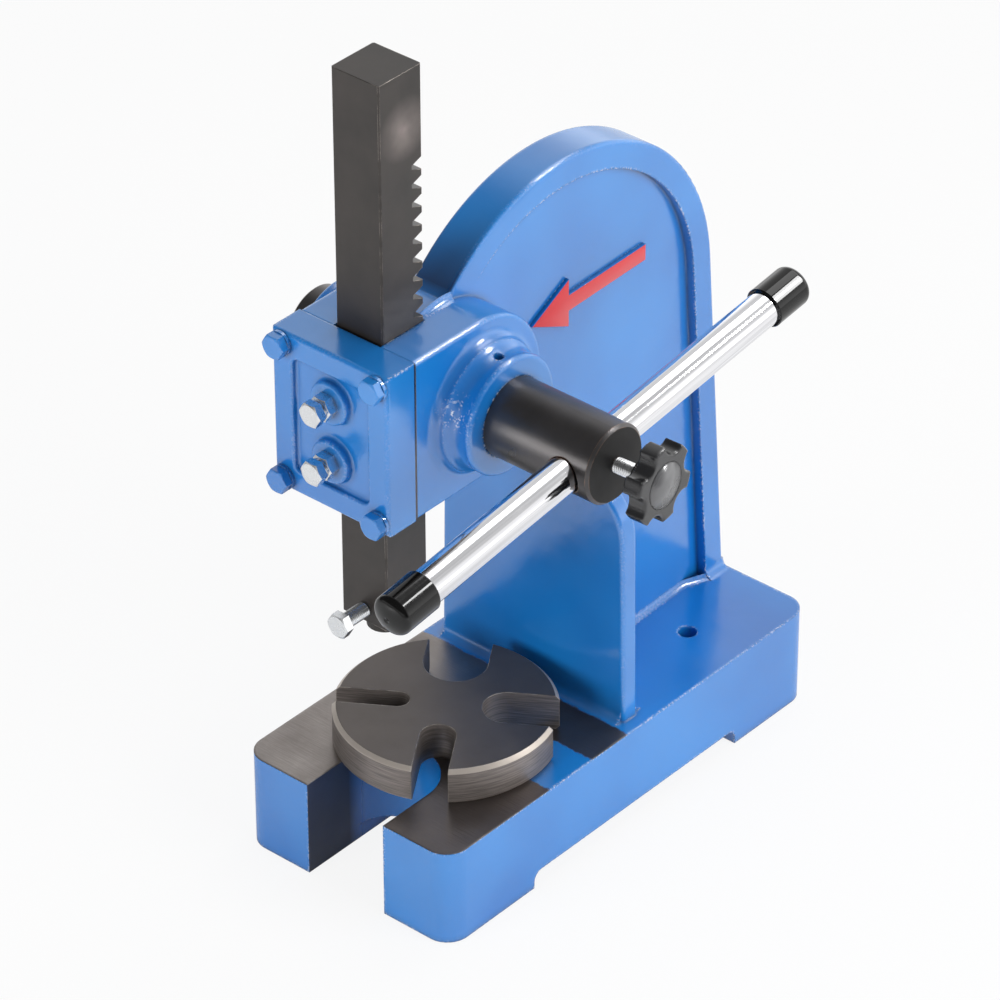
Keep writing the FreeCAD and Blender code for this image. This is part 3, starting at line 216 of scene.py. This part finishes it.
# %% Finish helper
class Finish:
    """A material in the making: each call adds a node and gives its output."""

    def __init__(self, name):
        self.material = bpy.data.materials.new(name)
        self.material.use_nodes = True
        self.tree = self.material.node_tree
        self.tree.nodes.clear()
        self.shader = self.add("BsdfPrincipled")
        out = self.add("OutputMaterial")
        self.tree.links.new(self.shader.outputs[0], out.inputs[0])
        self.place = self.add("TexCoord").outputs["Object"]

    def add(self, kind):
        return self.tree.nodes.new("ShaderNode" + kind)

    def feed(self, socket, value):
        if isinstance(value, bpy.types.NodeSocket):
            self.tree.links.new(value, socket)
        else:
            socket.default_value = value

    def set(self, **values):
        """Values or links for the shader's sockets, with _ for a space."""
        for name, value in values.items():
            self.feed(self.shader.inputs[name.replace("_", " ")], value)

    def mapped(self, scale=(1, 1, 1), turn=(0, 0, 0), kind="POINT"):
        """The place, stretched and turned; TEXTURE turns first, so that a streak can run at an angle."""
        node = self.add("Mapping")
        node.vector_type = kind
        node.inputs["Scale"].default_value = scale
        node.inputs["Rotation"].default_value = turn
        self.feed(node.inputs["Vector"], self.place)
        return node.outputs[0]

    def noise(self, scale, detail=3, rough=0.5, place=None):
        node = self.add("TexNoise")
        node.inputs["Scale"].default_value = scale
        node.inputs["Detail"].default_value = detail
        node.inputs["Roughness"].default_value = rough
        self.feed(node.inputs["Vector"], place or self.place)
        return node.outputs["Fac"]

    def math(self, kind, a, b=0.0, clamp=False):
        node = self.add("Math")
        node.operation = kind
        node.use_clamp = clamp
        self.feed(node.inputs[0], a)
        self.feed(node.inputs[1], b)
        return node.outputs[0]

    def span(self, value, low, high, first=0.0, last=1.0):
        """Value from low to high becomes first to last, and stops there."""
        node = self.add("MapRange")
        node.inputs["From Min"].default_value = low
        node.inputs["From Max"].default_value = high
        node.inputs["To Min"].default_value = first
        node.inputs["To Max"].default_value = last
        self.feed(node.inputs["Value"], value)
        return node.outputs[0]

    def mix(self, share, first, second):
        node = self.add("Mix")
        node.data_type = "RGBA"
        self.feed(node.inputs["Factor"], share)
        colours = [s for s in node.inputs if s.type == "RGBA"]
        for socket, colour in zip(colours, (first, second)):
            self.feed(socket, (*colour, 1) if isinstance(colour, tuple) else colour)
        return next(s for s in node.outputs if s.type == "RGBA")

    def axes(self, value=None):
        node = self.add("SeparateXYZ")
        self.feed(node.inputs[0], value or self.place)
        return node.outputs

    def bump(self, height, strength, distance, under=None):
        node = self.add("Bump")
        self.feed(node.inputs["Strength"], strength)
        node.inputs["Distance"].default_value = distance
        self.feed(node.inputs["Height"], height)
        if under is not None:
            self.feed(node.inputs["Normal"], under)
        return node.outputs[0]

    def soft_edges(self, radius, samples=6):
        """A normal that rounds every edge and corner by the radius."""
        node = self.add("Bevel")
        node.samples = samples
        node.inputs["Radius"].default_value = radius
        return node.outputs[0]

    def edge_share(self, rounded):
        """0 on flat faces, up to 1 on edges: how far the rounded normal turns."""
        true = self.add("NewGeometry").outputs["Normal"]
        node = self.add("VectorMath")
        node.operation = "DOT_PRODUCT"
        self.feed(node.inputs[0], rounded)
        self.feed(node.inputs[1], true)
        return self.span(node.outputs["Value"], 0.995, 0.8)


# %% Colours and dressing
def linear(value):
    share = value / 255
    return share / 12.92 if value <= 10 else ((share + 0.055) / 1.055) ** 2.4


def colour(red, green, blue):
    """Screen values of 0 to 255 as the linear colour that shaders use."""
    return tuple(linear(value) for value in (red, green, blue))


def dress(finish, *names):
    """Gives the finish to whole nodes, in place of the plain one from model.glb."""
    for name in names:
        nodes[name].data.materials.clear()
        nodes[name].data.materials.append(finish.material)
        print(name, "wears", finish.material.name)


print("a mid grey of 128 is", round(colour(128, 128, 128)[0], 3), "to a shader")


# %% [markdown]
# ## Blue enamel
# The castings are dipped in thick glossy enamel. It lies over sand-cast iron, so the surface swells and sinks
# softly and edges are round. Along the ridges, and on a pitted patch of the boss, tiny grains are painted
# near-white as painted glints. Corners and crevices are painted darker navy as painted shade, and a line of dirt
# sits in the joint between the cover and the frame. An image could be painted for all this, but masks reckoned
# from place, normal and corner follow the casting by themselves.


# %% Masks


def inside(finish, value, low, high, soft=0.0006):
    """1 where the value lies between low and high, with soft borders."""
    return finish.math("MULTIPLY", finish.span(value, low - soft, low + soft),
                       finish.span(value, high + soft, high - soft))


def normal_axes(finish):
    return finish.axes(finish.add("NewGeometry").outputs["Normal"])


def near(finish, place, reach):
    """1 at a place, fading to 0 at its reach."""
    node = finish.add("VectorMath")
    node.operation = "DISTANCE"
    finish.feed(node.inputs[0], finish.place)
    node.inputs[1].default_value = place
    return finish.span(node.outputs["Value"], 0, reach, 1, 0)


def corners(finish, reach, within=False):
    """1 on open faces, less in corners; or within the iron, less along ridges."""
    node = finish.add("AmbientOcclusion")
    node.inside = within
    node.samples = 4
    node.inputs["Distance"].default_value = reach
    return node.outputs["AO"]


# %% Marks on the enamel
JOINT = -0.2280
PITTED = (0.050, -0.2075, 0.317)
print("the cover's joint is at y =", JOINT, "and the boss is pitted near", PITTED)


def joint_dirt(paint, y, z):
    """1 in the joint between the cover and the frame, on the head's flanks."""
    line = inside(paint, y, JOINT - 0.0008, JOINT + 0.0008, 0.0002)
    line = paint.math("MULTIPLY", line, paint.span(z, 0.2, 0.21))
    flank = paint.math("ABSOLUTE", normal_axes(paint)[0])
    return paint.math("MULTIPLY", line, paint.span(flank, 0.4, 0.7))


def painted_glints(paint, y, patches, glint_share):
    """Painted glints: 1 on grains along the ridges, off the joint, and on the pitted side of the boss."""
    spots = paint.span(paint.noise(760, 1), 0.52, 0.58)
    ridges = paint.span(corners(paint, 0.0020, True), 0.78, 0.64)
    glints = paint.math("MULTIPLY", spots, ridges)
    glints = paint.math("MULTIPLY", glints, paint.span(patches, 0, 1, 0.2 * glint_share, glint_share))
    off_joint = paint.math("ABSOLUTE", paint.math("SUBTRACT", y, JOINT))
    glints = paint.math("MULTIPLY", glints, paint.span(off_joint, 0.002, 0.004))
    pit_glints = paint.math("MULTIPLY", near(paint, PITTED, 0.012), spots)
    pit_glints = paint.math("MULTIPLY", pit_glints, paint.span(paint.noise(300, 2), 0.45, 0.6))
    return paint.math("ADD", glints, pit_glints, True)


# %% Enamel
DEEP = colour(20, 114, 194)
BRIGHT = colour(30, 133, 214)
SHADE_NAVY = colour(10, 34, 74)
DIRT = colour(6, 14, 30)
GLINT_WHITE = (0.88, 0.92, 0.97)


def enamel(name, edge, glint_share=1.0):
    """Glossy blue paint on a casting, with edges rounded by `edge`, painted glints on its ridges and painted
    shade in its corners.
    """
    paint = Finish(name)
    x, y, z = paint.axes()
    waves = paint.noise(9, 2)
    grain = paint.noise(640, 4, 0.65)
    swell = paint.noise(34, 2)
    rounded = paint.soft_edges(edge)
    edges = paint.edge_share(rounded)
    patches = paint.span(paint.noise(38, 3, 0.6), 0.42, 0.62)
    rough_edges = paint.math("MULTIPLY", edges, paint.span(patches, 0, 1, 0.25, 1))
    lumps = paint.bump(swell, 0.12, 0.004, rounded)
    skin = paint.bump(grain, paint.span(rough_edges, 0.05, 1, 0.03, 1.0), 0.0018, lumps)
    tone = paint.mix(paint.span(waves, 0.35, 0.65), DEEP, BRIGHT)
    # Corners and crevices, found by ambient occlusion, are painted darker navy: painted shade.
    corner_shade = paint.span(corners(paint, 0.005), 0.85, 0.35, 0, 0.75)
    tone = paint.mix(corner_shade, tone, SHADE_NAVY)
    tone = paint.mix(joint_dirt(paint, y, z), tone, DIRT)
    # Grains along the ridges and on the pitted patch are painted near-white: painted glints.
    tone = paint.mix(painted_glints(paint, y, patches, glint_share), tone, GLINT_WHITE)
    gloss = paint.span(paint.noise(55, 3), 0.3, 0.7, 0.15, 0.22)
    paint.set(Base_Color=tone, Roughness=gloss, Normal=skin)
    paint.set(IOR=2.1)
    return paint, tone, gloss, skin


# %% Enamel on the cover, its bolts and washers
blue, *_ = enamel("blue_enamel", 0.0012)
smooth_blue, *_ = enamel("smooth_enamel", 0.0006, 0.15)
dress(blue, "ram_cover")
dress(smooth_blue, "cover_bolts", "cover_washers")
print("enamel nodes:", len(blue.tree.nodes))

# %% [markdown]
# ## The frame: enamel and a machined bed
# The bed under the plate is milled bare and oiled, and the paint comes up to it in rough bands. One material
# holds both, and the place on the top face of the base decides which one shows. Two materials on cut faces
# would give straight borders, and a mask can be as ragged as brushed paint.

# %% Milled bed and the slot walls' painted shade
BED = 0.060
SLOT_HALF = 0.0278
casting, tone, gloss, skin = enamel("frame_enamel", 0.0020)
x, y, z = casting.axes()
facing = normal_axes(casting)
ragged = casting.span(casting.noise(160, 4, 0.7), 0.3, 0.7, -0.0012, 0.0012)
along = casting.math("ADD", y, ragged)
front_bed = casting.span(along, -0.1620, -0.1630)
rear_bed = inside(casting, along, -0.1265, -0.0960)
milled = casting.math("ADD", front_bed, rear_bed, True)
milled = casting.math("MULTIPLY", milled, inside(casting, z, BED - 0.0004, BED + 0.0004, 0.0002))
milled = casting.math("MULTIPLY", milled, casting.span(facing[2], 0.7, 0.95))

# The slot's straight walls lie deep in the gap and are painted dark navy and made rougher: painted shade.
slot_wall_shade = casting.math("MULTIPLY", inside(casting, x, -SLOT_HALF, SLOT_HALF, 0.0001),
                     casting.span(y, -0.200, -0.212))
slot_wall_shade = casting.math("MULTIPLY", slot_wall_shade, casting.span(casting.math("ABSOLUTE", facing[0]), 0.5, 0.9))
slot_wall_shade = casting.math("MULTIPLY", slot_wall_shade, casting.span(z, BED + 0.0002, BED - 0.0002))
print("bed at z =", BED, "with a slot", 2 * SLOT_HALF, "wide")

# %% Frame
clouds = casting.noise(26, 4, 0.6)
cuts = casting.noise(60, 3, 0.6, casting.mapped(scale=(1, 14, 1)))
iron = casting.mix(casting.span(clouds, 0.3, 0.7), colour(128, 121, 117), colour(158, 151, 147))
# Across the bare bed the colour goes darker towards +X and lighter towards -X: a painted reflection of the white
# room on the left pad.
iron = casting.mix(casting.span(x, -0.03, 0.04, 0, 0.75), iron, colour(88, 80, 78))
tone = casting.mix(slot_wall_shade, tone, colour(10, 28, 60))
tone = casting.mix(milled, tone, iron)

# The web's curved front edge, behind the ram, is painted navy as painted shade and painted reflection of the ram
# and head; only its crown is left light.
shaded_front_edge = casting.math("MULTIPLY", casting.span(facing[1], -0.3, -0.6), casting.span(z, 0.353, 0.357))
shaded_front_edge = casting.math("MULTIPLY", shaded_front_edge, casting.span(facing[2], 0.95, 0.65, 0, 0.9))
tone = casting.mix(shaded_front_edge, tone, SHADE_NAVY)
level = casting.math("ADD", casting.math("MULTIPLY", milled, 0.16), gloss)
level = casting.math("ADD", level, casting.math("MULTIPLY", slot_wall_shade, 0.45))
casting.set(Base_Color=tone, Roughness=level, Metallic=casting.math("MULTIPLY", milled, 0.85),
            Normal=casting.bump(cuts, casting.math("MULTIPLY", milled, 0.25), 0.0006, skin))
dress(casting, "frame")
print("frame nodes:", len(casting.tree.nodes))

# %% [markdown]
# ## Dark machined steel and iron
# The ram, the hub and the plate are machined and blackened in hot oil. The finish is a thin brown-black skin
# over bright metal: worn at the corners, cloudy on the faces, and streaked by the tool. The same recipe serves
# all three, and each part then gets what is its own: the ram a lighter patch high on its right side, the plate
# its lighter turned rim and a chamfer painted bright, partly as worn metal and partly as a painted highlight,
# the hub a dull sawn end.


# %% Black oxide
def blackened(name, dark, light, rough, streak, wear, edge=0.0008, metal=0.35):
    """Oiled black oxide; streak scales the tool marks, wear is the bright metal at the edges."""
    steel = Finish(name)
    clouds = steel.noise(16, 4, 0.6)
    marks = steel.noise(90, 3, 0.6, steel.mapped(scale=streak))
    rounded = steel.soft_edges(edge)
    worn = steel.math("MULTIPLY", steel.edge_share(rounded), steel.span(steel.noise(130, 3), 0.42, 0.62), True)
    body = steel.mix(steel.span(clouds, 0.35, 0.7), dark, light)
    level = steel.span(clouds, 0.3, 0.7, rough, rough + 0.16)
    steel.set(Base_Color=steel.mix(worn, body, wear), Roughness=level,
              Normal=steel.bump(marks, 0.06, 0.001, rounded))
    steel.set(Metallic=metal)
    return steel, body, worn, level


WEAR = colour(176, 166, 158)
print("worn edges show", tuple(round(share, 2) for share in WEAR))

# %% Ram
ram_black, body, worn, level = blackened("ram_black", colour(50, 47, 45), colour(72, 67, 64), 0.32,
                                         (1, 1, 0.08), WEAR)
# A lighter patch is painted high on the ram's right side, fading out over 19 mm.
lighter_patch = ram_black.math("MULTIPLY", near(ram_black, (0.016, -0.207, 0.472), 0.019), ram_black.noise(60, 3))
body = ram_black.mix(lighter_patch, body, colour(158, 146, 142))
ram_black.set(Base_Color=ram_black.mix(worn, body, WEAR))
dress(ram_black, "ram")

# %% Arbor plate
plate_black, body, worn, level = blackened("plate_black", colour(88, 82, 78), colour(108, 101, 97), 0.34,
                                           (1, 1, 10), WEAR, 0.0009, 0.6)
slope = plate_black.math("ABSOLUTE", normal_axes(plate_black)[2])
rings = plate_black.noise(150, 3, 0.6, plate_black.mapped(scale=(0.3, 0.3, 9)))
rim = plate_black.mix(plate_black.span(rings, 0.35, 0.65), colour(112, 105, 101), colour(150, 141, 136))
body = plate_black.mix(plate_black.span(slope, 0.3, 0.1), body, rim)
# The chamfer is painted bright all round, partly as worn bare metal and partly as a painted highlight.
worn = plate_black.math("ADD", worn, inside(plate_black, slope, 0.4, 0.9, 0.05), True)
plate_black.set(Base_Color=plate_black.mix(worn, body, colour(200, 190, 180)))
dress(plate_black, "arbor_plate")

# %% Pinion shaft, collar and collar screw
hub_black, body, worn, level = blackened("hub_black", colour(82, 80, 80), colour(98, 95, 95), 0.24,
                                         (9, 1, 1), WEAR, 0.0008, 0.8)
end = hub_black.span(hub_black.math("ABSOLUTE", normal_axes(hub_black)[0]), 0.85, 0.98)
body = hub_black.mix(end, body, colour(30, 29, 29))
hub_black.set(Base_Color=hub_black.mix(worn, body, colour(178, 142, 120)),
              Roughness=hub_black.math("ADD", level, hub_black.math("MULTIPLY", end, 0.25)),
              Metallic=hub_black.span(end, 0, 1, 0.8, 0.1))
dress(hub_black, "pinion_shaft", "shaft_collar", "collar_screw")

# %% [markdown]
# ## Bright metals
# The lever bar is chromed over drawn steel, so faint draw marks run along it. The bolts, nuts and the knob's
# stud are zinc plated, and the press nose, the gib and the plate's pin are ground steel. All are full metals, so
# their look comes from roughness and from the room they mirror, and one recipe with other numbers serves them.


# %% Bright metal
def bright(name, light, dark, rough, grain, strength):
    """A plated or ground metal with fine cloud and grain."""
    metal = Finish(name)
    clouds = metal.noise(grain, 3)
    metal.set(Base_Color=metal.mix(clouds, dark, light),
              Roughness=metal.span(clouds, 0.3, 0.7, rough, rough * 1.6),
              Normal=metal.bump(metal.noise(grain * 6, 2), strength, 0.0004))
    metal.set(Metallic=1.0)
    return metal


# %% Chrome with draw marks along the bar
BAR_TILT = math.radians(7.6)
chrome = bright("chrome", (0.86, 0.86, 0.88), (0.8, 0.8, 0.82), 0.06, 40, 0.02)
drawn = chrome.mapped(scale=(1, 90, 1), turn=(BAR_TILT, 0, 0), kind="TEXTURE")
draw_marks = chrome.noise(420, 3, 0.6, drawn)
streaked = chrome.mix(chrome.span(draw_marks, 0.35, 0.6), (0.66, 0.66, 0.68), (0.87, 0.87, 0.89))
chrome.set(Base_Color=streaked, Normal=chrome.bump(draw_marks, 0.1, 0.0006))
dress(chrome, "lever_bar")

# %% Zinc and ground steel
zinc = bright("zinc", (0.9, 0.91, 0.91), (0.74, 0.75, 0.77), 0.2, 160, 0.06)
ground = bright("bright_steel", (0.66, 0.65, 0.64), (0.52, 0.51, 0.5), 0.22, 120, 0.08)
dark_ground = bright("dark_ground_steel", (0.09, 0.085, 0.08), (0.06, 0.055, 0.052), 0.34, 90, 0.08)
dress(zinc, "gib_screws", "gib_lock_nuts", "nose_bolt", "knob_stud")
dress(ground, "gib_strip", "plate_pivot_pin")
dress(dark_ground, "ram_nose")

# %% [markdown]
# ## Threads
# The solids hold every screw as a plain cylinder. Where a thread shows, ridges are laid round the shank: a disc
# is drawn out half a pitch at a time, growing to the crest and shrinking to the root in turn. A true helix
# would look the same at this size and is harder to close at its ends.


# %% Into edit mode and out of it
def edit(made):
    bpy.ops.object.select_all(action="DESELECT")
    made.select_set(True)
    bpy.context.view_layer.objects.active = made
    bpy.ops.object.mode_set(mode="EDIT")
    bpy.ops.mesh.select_all(action="SELECT")


def settle(made, name, body, angle=35):
    """Leaves edit mode with the normals outwards, the place in the mesh, and the piece on its body."""
    bpy.ops.mesh.select_all(action="SELECT")
    bpy.ops.mesh.normals_make_consistent(inside=False)
    bpy.ops.object.mode_set(mode="OBJECT")
    bpy.ops.object.transform_apply(location=True, rotation=True, scale=True)
    bpy.ops.object.shade_smooth_by_angle(angle=math.radians(angle))
    made.name = name
    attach(made, body)
    uses = Counter(key for face in made.data.polygons for key in face.edge_keys)
    print(name, "has", len(made.data.polygons), "faces and", sum(n != 2 for n in uses.values()), "open edges")
    return made


def twin(made, name, body, angle, shift=(0, 0, 0), flip=(1, 1, 1)):
    """A copy with its own mesh, moved, or mirrored about the press's middle, and settled again."""
    bpy.ops.object.select_all(action="DESELECT")
    made.select_set(True)
    bpy.context.view_layer.objects.active = made
    bpy.ops.object.duplicate(linked=False)
    copied = bpy.context.object
    edit(copied)
    bpy.ops.transform.translate(value=shift)
    bpy.ops.transform.resize(value=flip, center_override=(0, 0, 0))
    settle(copied, name, body, angle)
    return copied


# %% Thread
ROOT, CREST, PITCH = 0.00405, 0.00442, 0.00125


def thread(name, start, way, length, body):
    """Ridges from a start point along a direction."""
    bpy.ops.object.select_all(action="DESELECT")
    bpy.ops.mesh.primitive_circle_add(vertices=32, radius=ROOT, fill_type="NGON", location=start,
                                      rotation=Vector(way).to_track_quat("Z", "Y").to_euler())
    made = bpy.context.object
    edit(made)
    forward = Vector(way).normalized() * PITCH / 2
    for step in range(2 * round(length / PITCH)):
        bpy.ops.mesh.extrude_region_move(TRANSFORM_OT_translate={"value": forward})
        growth = CREST / ROOT if step % 2 == 0 else ROOT / CREST
        bpy.ops.transform.resize(value=(growth, growth, growth))
    settle(made, name, body, 20)
    made.data.materials.append(zinc.material)
    return made


# %% The threads that show
STUD_LEAN = math.radians(2.7)
GIB_SCREWS_APART = 0.036
stud_way = (math.cos(STUD_LEAN), math.sin(STUD_LEAN), 0)
thread("nose_bolt_thread", (0, -0.2426, 0.180), (0, 1, 0), 0.0165, "ram_body")
upper_gib = thread("upper_gib_thread", (0, -0.2600, 0.322), (0, 1, 0), 0.0020, "frame_body")
twin(upper_gib, "lower_gib_thread", "frame_body", 20, shift=(0, 0, -GIB_SCREWS_APART))
thread("knob_stud_thread", (0.1307, -0.17620, 0.304), stud_way, 0.0138, "knob_body")

# %% [markdown]
# ## Casting fillets
# Sand-cast iron has no sharp inner corner. Where the web stands on the base, a cove fills the corner. Its
# section is a small square with one corner bevelled hollow, which is then drawn along stations. The stations
# are measured on the frame itself with rays, so the cove sits on its surface. Only the right one is modelled,
# and the left is its mirrored copy.


# %% Hollow section
INSET = 0.0004


def hollow_section(corner, radius, lean=0.0):
    """A square whose outer corner is bevelled hollow, leaning back from upright about the X axis."""
    up = Vector((0, math.sin(lean), math.cos(lean)))
    centre = Vector(corner) + (Vector((1, 0, 0)) + up) * (radius - INSET) / 2
    bpy.ops.object.select_all(action="DESELECT")
    bpy.ops.mesh.primitive_plane_add(size=radius + INSET, location=centre,
                                     rotation=(math.pi / 2 - lean, 0, 0))
    made = bpy.context.object
    edit(made)
    bpy.ops.mesh.select_all(action="DESELECT")
    bpy.ops.object.mode_set(mode="OBJECT")
    for vertex in made.data.vertices:
        vertex.select = vertex.co.x > 0 and vertex.co.y > 0
    bpy.ops.object.mode_set(mode="EDIT")
    bpy.ops.mesh.bevel(offset=radius * 0.98, segments=7, profile=0.12, affect="VERTICES")
    bpy.ops.mesh.select_all(action="SELECT")
    return made


# %% Coves at the web's foot
def cove(name, stations, radius):
    """A cove through stations (x, y, z), opening towards +X and up."""
    made = hollow_section(stations[0], radius)
    for before, after in zip(stations, stations[1:]):
        bpy.ops.mesh.extrude_region_move(TRANSFORM_OT_translate={"value": Vector(after) - Vector(before)})
    settle(made, name, "frame_body", 50)
    made.data.materials.append(smooth_blue.material)
    return made


casting_node = nodes["frame"]


def reach(start, way):
    """Where a ray meets the frame, or None."""
    hit, place, normal, face = casting_node.ray_cast(Vector(start), Vector(way))
    return place if hit else None


def foot_stations():
    found = []
    for step in range(9):
        y = -0.070 + step * 0.0147
        wall = reach((0.060, y, BED + 0.004), (-1, 0, 0))
        found.append((wall.x, y, BED))
    return found


MIRROR = (-1, 1, 1)
stations = foot_stations()
print("web foot at x =", [round(x * 1000, 1) for x, y, z in stations])
right_foot = cove("right_foot_cove", stations, 0.0032)
twin(right_foot, "left_foot_cove", "frame_body", 50, flip=MIRROR)

# %% [markdown]
# ## Coves at the head
# The round bosses that carry the pinion grow out of the casting with a cove too. Here the corner runs on a
# circle, so the section is spun about the pinion's axis instead of being drawn out. The spin starts just behind
# the head's top and turns forwards, so only its start shows, and the rest lies within the head and passes
# through the ram's sides there. Known fault: the cove belongs behind the boss, which is the other way round.


# %% Coves at the head
PINION_AXIS = Vector((0, -0.177, 0.304))
BOSS_RADIUS = 0.0484
WEB_HALF = 0.0121


def boss_cove(name, start, end, x, radius):
    """The section spun forwards about the pinion's axis by end - start, from start behind the top."""
    lean = math.radians(start)
    corner = PINION_AXIS + Vector((x, BOSS_RADIUS * math.sin(lean), BOSS_RADIUS * math.cos(lean)))
    made = hollow_section(corner, radius, lean)
    bpy.ops.mesh.spin(steps=48, angle=math.radians(end - start), center=PINION_AXIS, axis=(-1, 0, 0))
    settle(made, name, "frame_body", 50)
    made.data.materials.append(smooth_blue.material)
    return made


right_boss = boss_cove("right_boss_cove", 9, 122, WEB_HALF, 0.0042)
twin(right_boss, "left_boss_cove", "frame_body", 50, flip=MIRROR)

# %% [markdown]
# ## The raised arrow
# The web carries a raised mark, cast with it and painted red on its face. A plain arrow stands here: a
# triangle whose base edge is cut in three, with the middle third drawn out as the shaft, then raised. Its place
# and lean are measured on the web with two rays, so that it lies flat on the field.


# %% Arrow
def arrow(name, tip, tail_way, face_way, length, width, rise):
    """An arrow from its tip along tail_way, standing out along face_way."""
    bpy.ops.object.select_all(action="DESELECT")
    bpy.ops.mesh.primitive_circle_add(vertices=3, radius=1, fill_type="NGON")
    made = bpy.context.object
    edit(made)
    bpy.ops.mesh.select_all(action="DESELECT")
    bpy.ops.mesh.select_mode(type="EDGE")
    bpy.ops.object.mode_set(mode="OBJECT")
    points = made.data.vertices
    for line in made.data.edges:
        line.select = all(points[i].co.y < 0 for i in line.vertices)
    bpy.ops.object.mode_set(mode="EDIT")
    bpy.ops.mesh.subdivide(number_cuts=2)
    bpy.ops.mesh.select_all(action="DESELECT")
    bpy.ops.object.mode_set(mode="OBJECT")
    points = made.data.vertices
    for line in made.data.edges:
        line.select = all(points[i].co.y < 0 and abs(points[i].co.x) < 0.5 for i in line.vertices)
    bpy.ops.object.mode_set(mode="EDIT")
    head = 1.05 * width
    tall = head / 1.5
    bpy.ops.mesh.extrude_region_move(TRANSFORM_OT_translate={"value": (0, -(length - head) / tall, 0)})
    bpy.ops.mesh.select_all(action="SELECT")
    bpy.ops.mesh.dissolve_limited(angle_limit=0.01)
    bpy.ops.transform.translate(value=(0, -1, 0))
    bpy.ops.transform.resize(value=(width / math.sqrt(3), tall, 1), center_override=(0, 0, 0))
    bpy.ops.mesh.extrude_region_move(TRANSFORM_OT_translate={"value": (0, 0, rise)})
    bpy.ops.mesh.bevel(offset=0.0005, segments=2, affect="EDGES")
    back = -Vector(tail_way).normalized()
    out = Vector(face_way).normalized()
    across = back.cross(out)
    bpy.ops.object.mode_set(mode="OBJECT")
    made.matrix_world = Matrix.Translation(tip) @ Matrix((across, back, out)).transposed().to_4x4()
    edit(made)
    return settle(made, name, "frame_body", 30)


# %% The arrow on the web
RED = colour(214, 44, 52)
surface = [reach((0.060, y, 0.304), (-1, 0, 0)) for y in (-0.106, -0.008)]
run = surface[1] - surface[0]
out = Vector((run.y, -run.x, 0)).normalized()
print("arrow runs along", tuple(round(v, 4) for v in run), "and faces", tuple(round(v, 3) for v in out))
mark = arrow("raised_arrow", surface[0] - out * 0.0004, run, out, run.length, 0.030, 0.0028)
red, tone, *_ = enamel("mark_enamel", 0.0005, 0.0)
red.set(Base_Color=red.mix(red.span(normal_axes(red)[0], 0.6, 0.8), tone, RED))
red.set(IOR=1.5)
mark.data.materials.append(red.material)

# %% [markdown]
# ## Plastics
# The bar's caps are dipped vinyl, glossy like wet paint. The star knob is moulded, satin and faintly grained,
# and the disc in its face is a softer grey. The difference is in roughness and in how finely the surface is
# grained, so all three come from one recipe.


# %% Plastic
def plastic(name, dark, light, rough, grain, strength):
    """A plastic with faint clouds of tone and a fine grain."""
    skin = Finish(name)
    clouds = skin.noise(70, 3)
    skin.set(Base_Color=skin.mix(clouds, dark, light),
             Roughness=skin.span(clouds, 0.3, 0.7, rough, rough + 0.08),
             Normal=skin.bump(skin.noise(grain, 3), strength, 0.0004))
    return skin


# %% Caps and knob
vinyl = plastic("black_vinyl", (0.002, 0.002, 0.002), (0.004, 0.004, 0.004), 0.03, 300, 0.02)
vinyl.set(IOR=1.45)
moulded = plastic("black_plastic", (0.012, 0.012, 0.013), (0.02, 0.02, 0.022), 0.16, 1500, 0.1)
moulded.set(Normal=moulded.bump(moulded.noise(1500, 3), 0.06, 0.0004, moulded.soft_edges(0.0016)))
moulded.set(IOR=1.7)
dress(vinyl, *CAPS)
dress(moulded, "lock_knob")

# %% Disc in the knob's face
disc = plastic("grey_plastic", (0.10, 0.10, 0.104), (0.125, 0.125, 0.13), 0.24, 1500, 0.1)

# The disc is slightly domed: a height that falls off with the square of the distance from its middle.
low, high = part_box("knob_cap")
middle = disc.add("VectorMath")
middle.operation = "DISTANCE"
disc.feed(middle.inputs[0], disc.place)
middle.inputs[1].default_value = (Vector(low) + Vector(high)) / 2
dome = disc.math("MULTIPLY", disc.math("POWER", middle.outputs["Value"], 2.0), -32.0)
disc.set(Normal=disc.bump(dome, 1.0, 1.0, disc.soft_edges(0.001)))
disc.set(IOR=1.9)
dress(disc, "knob_cap")
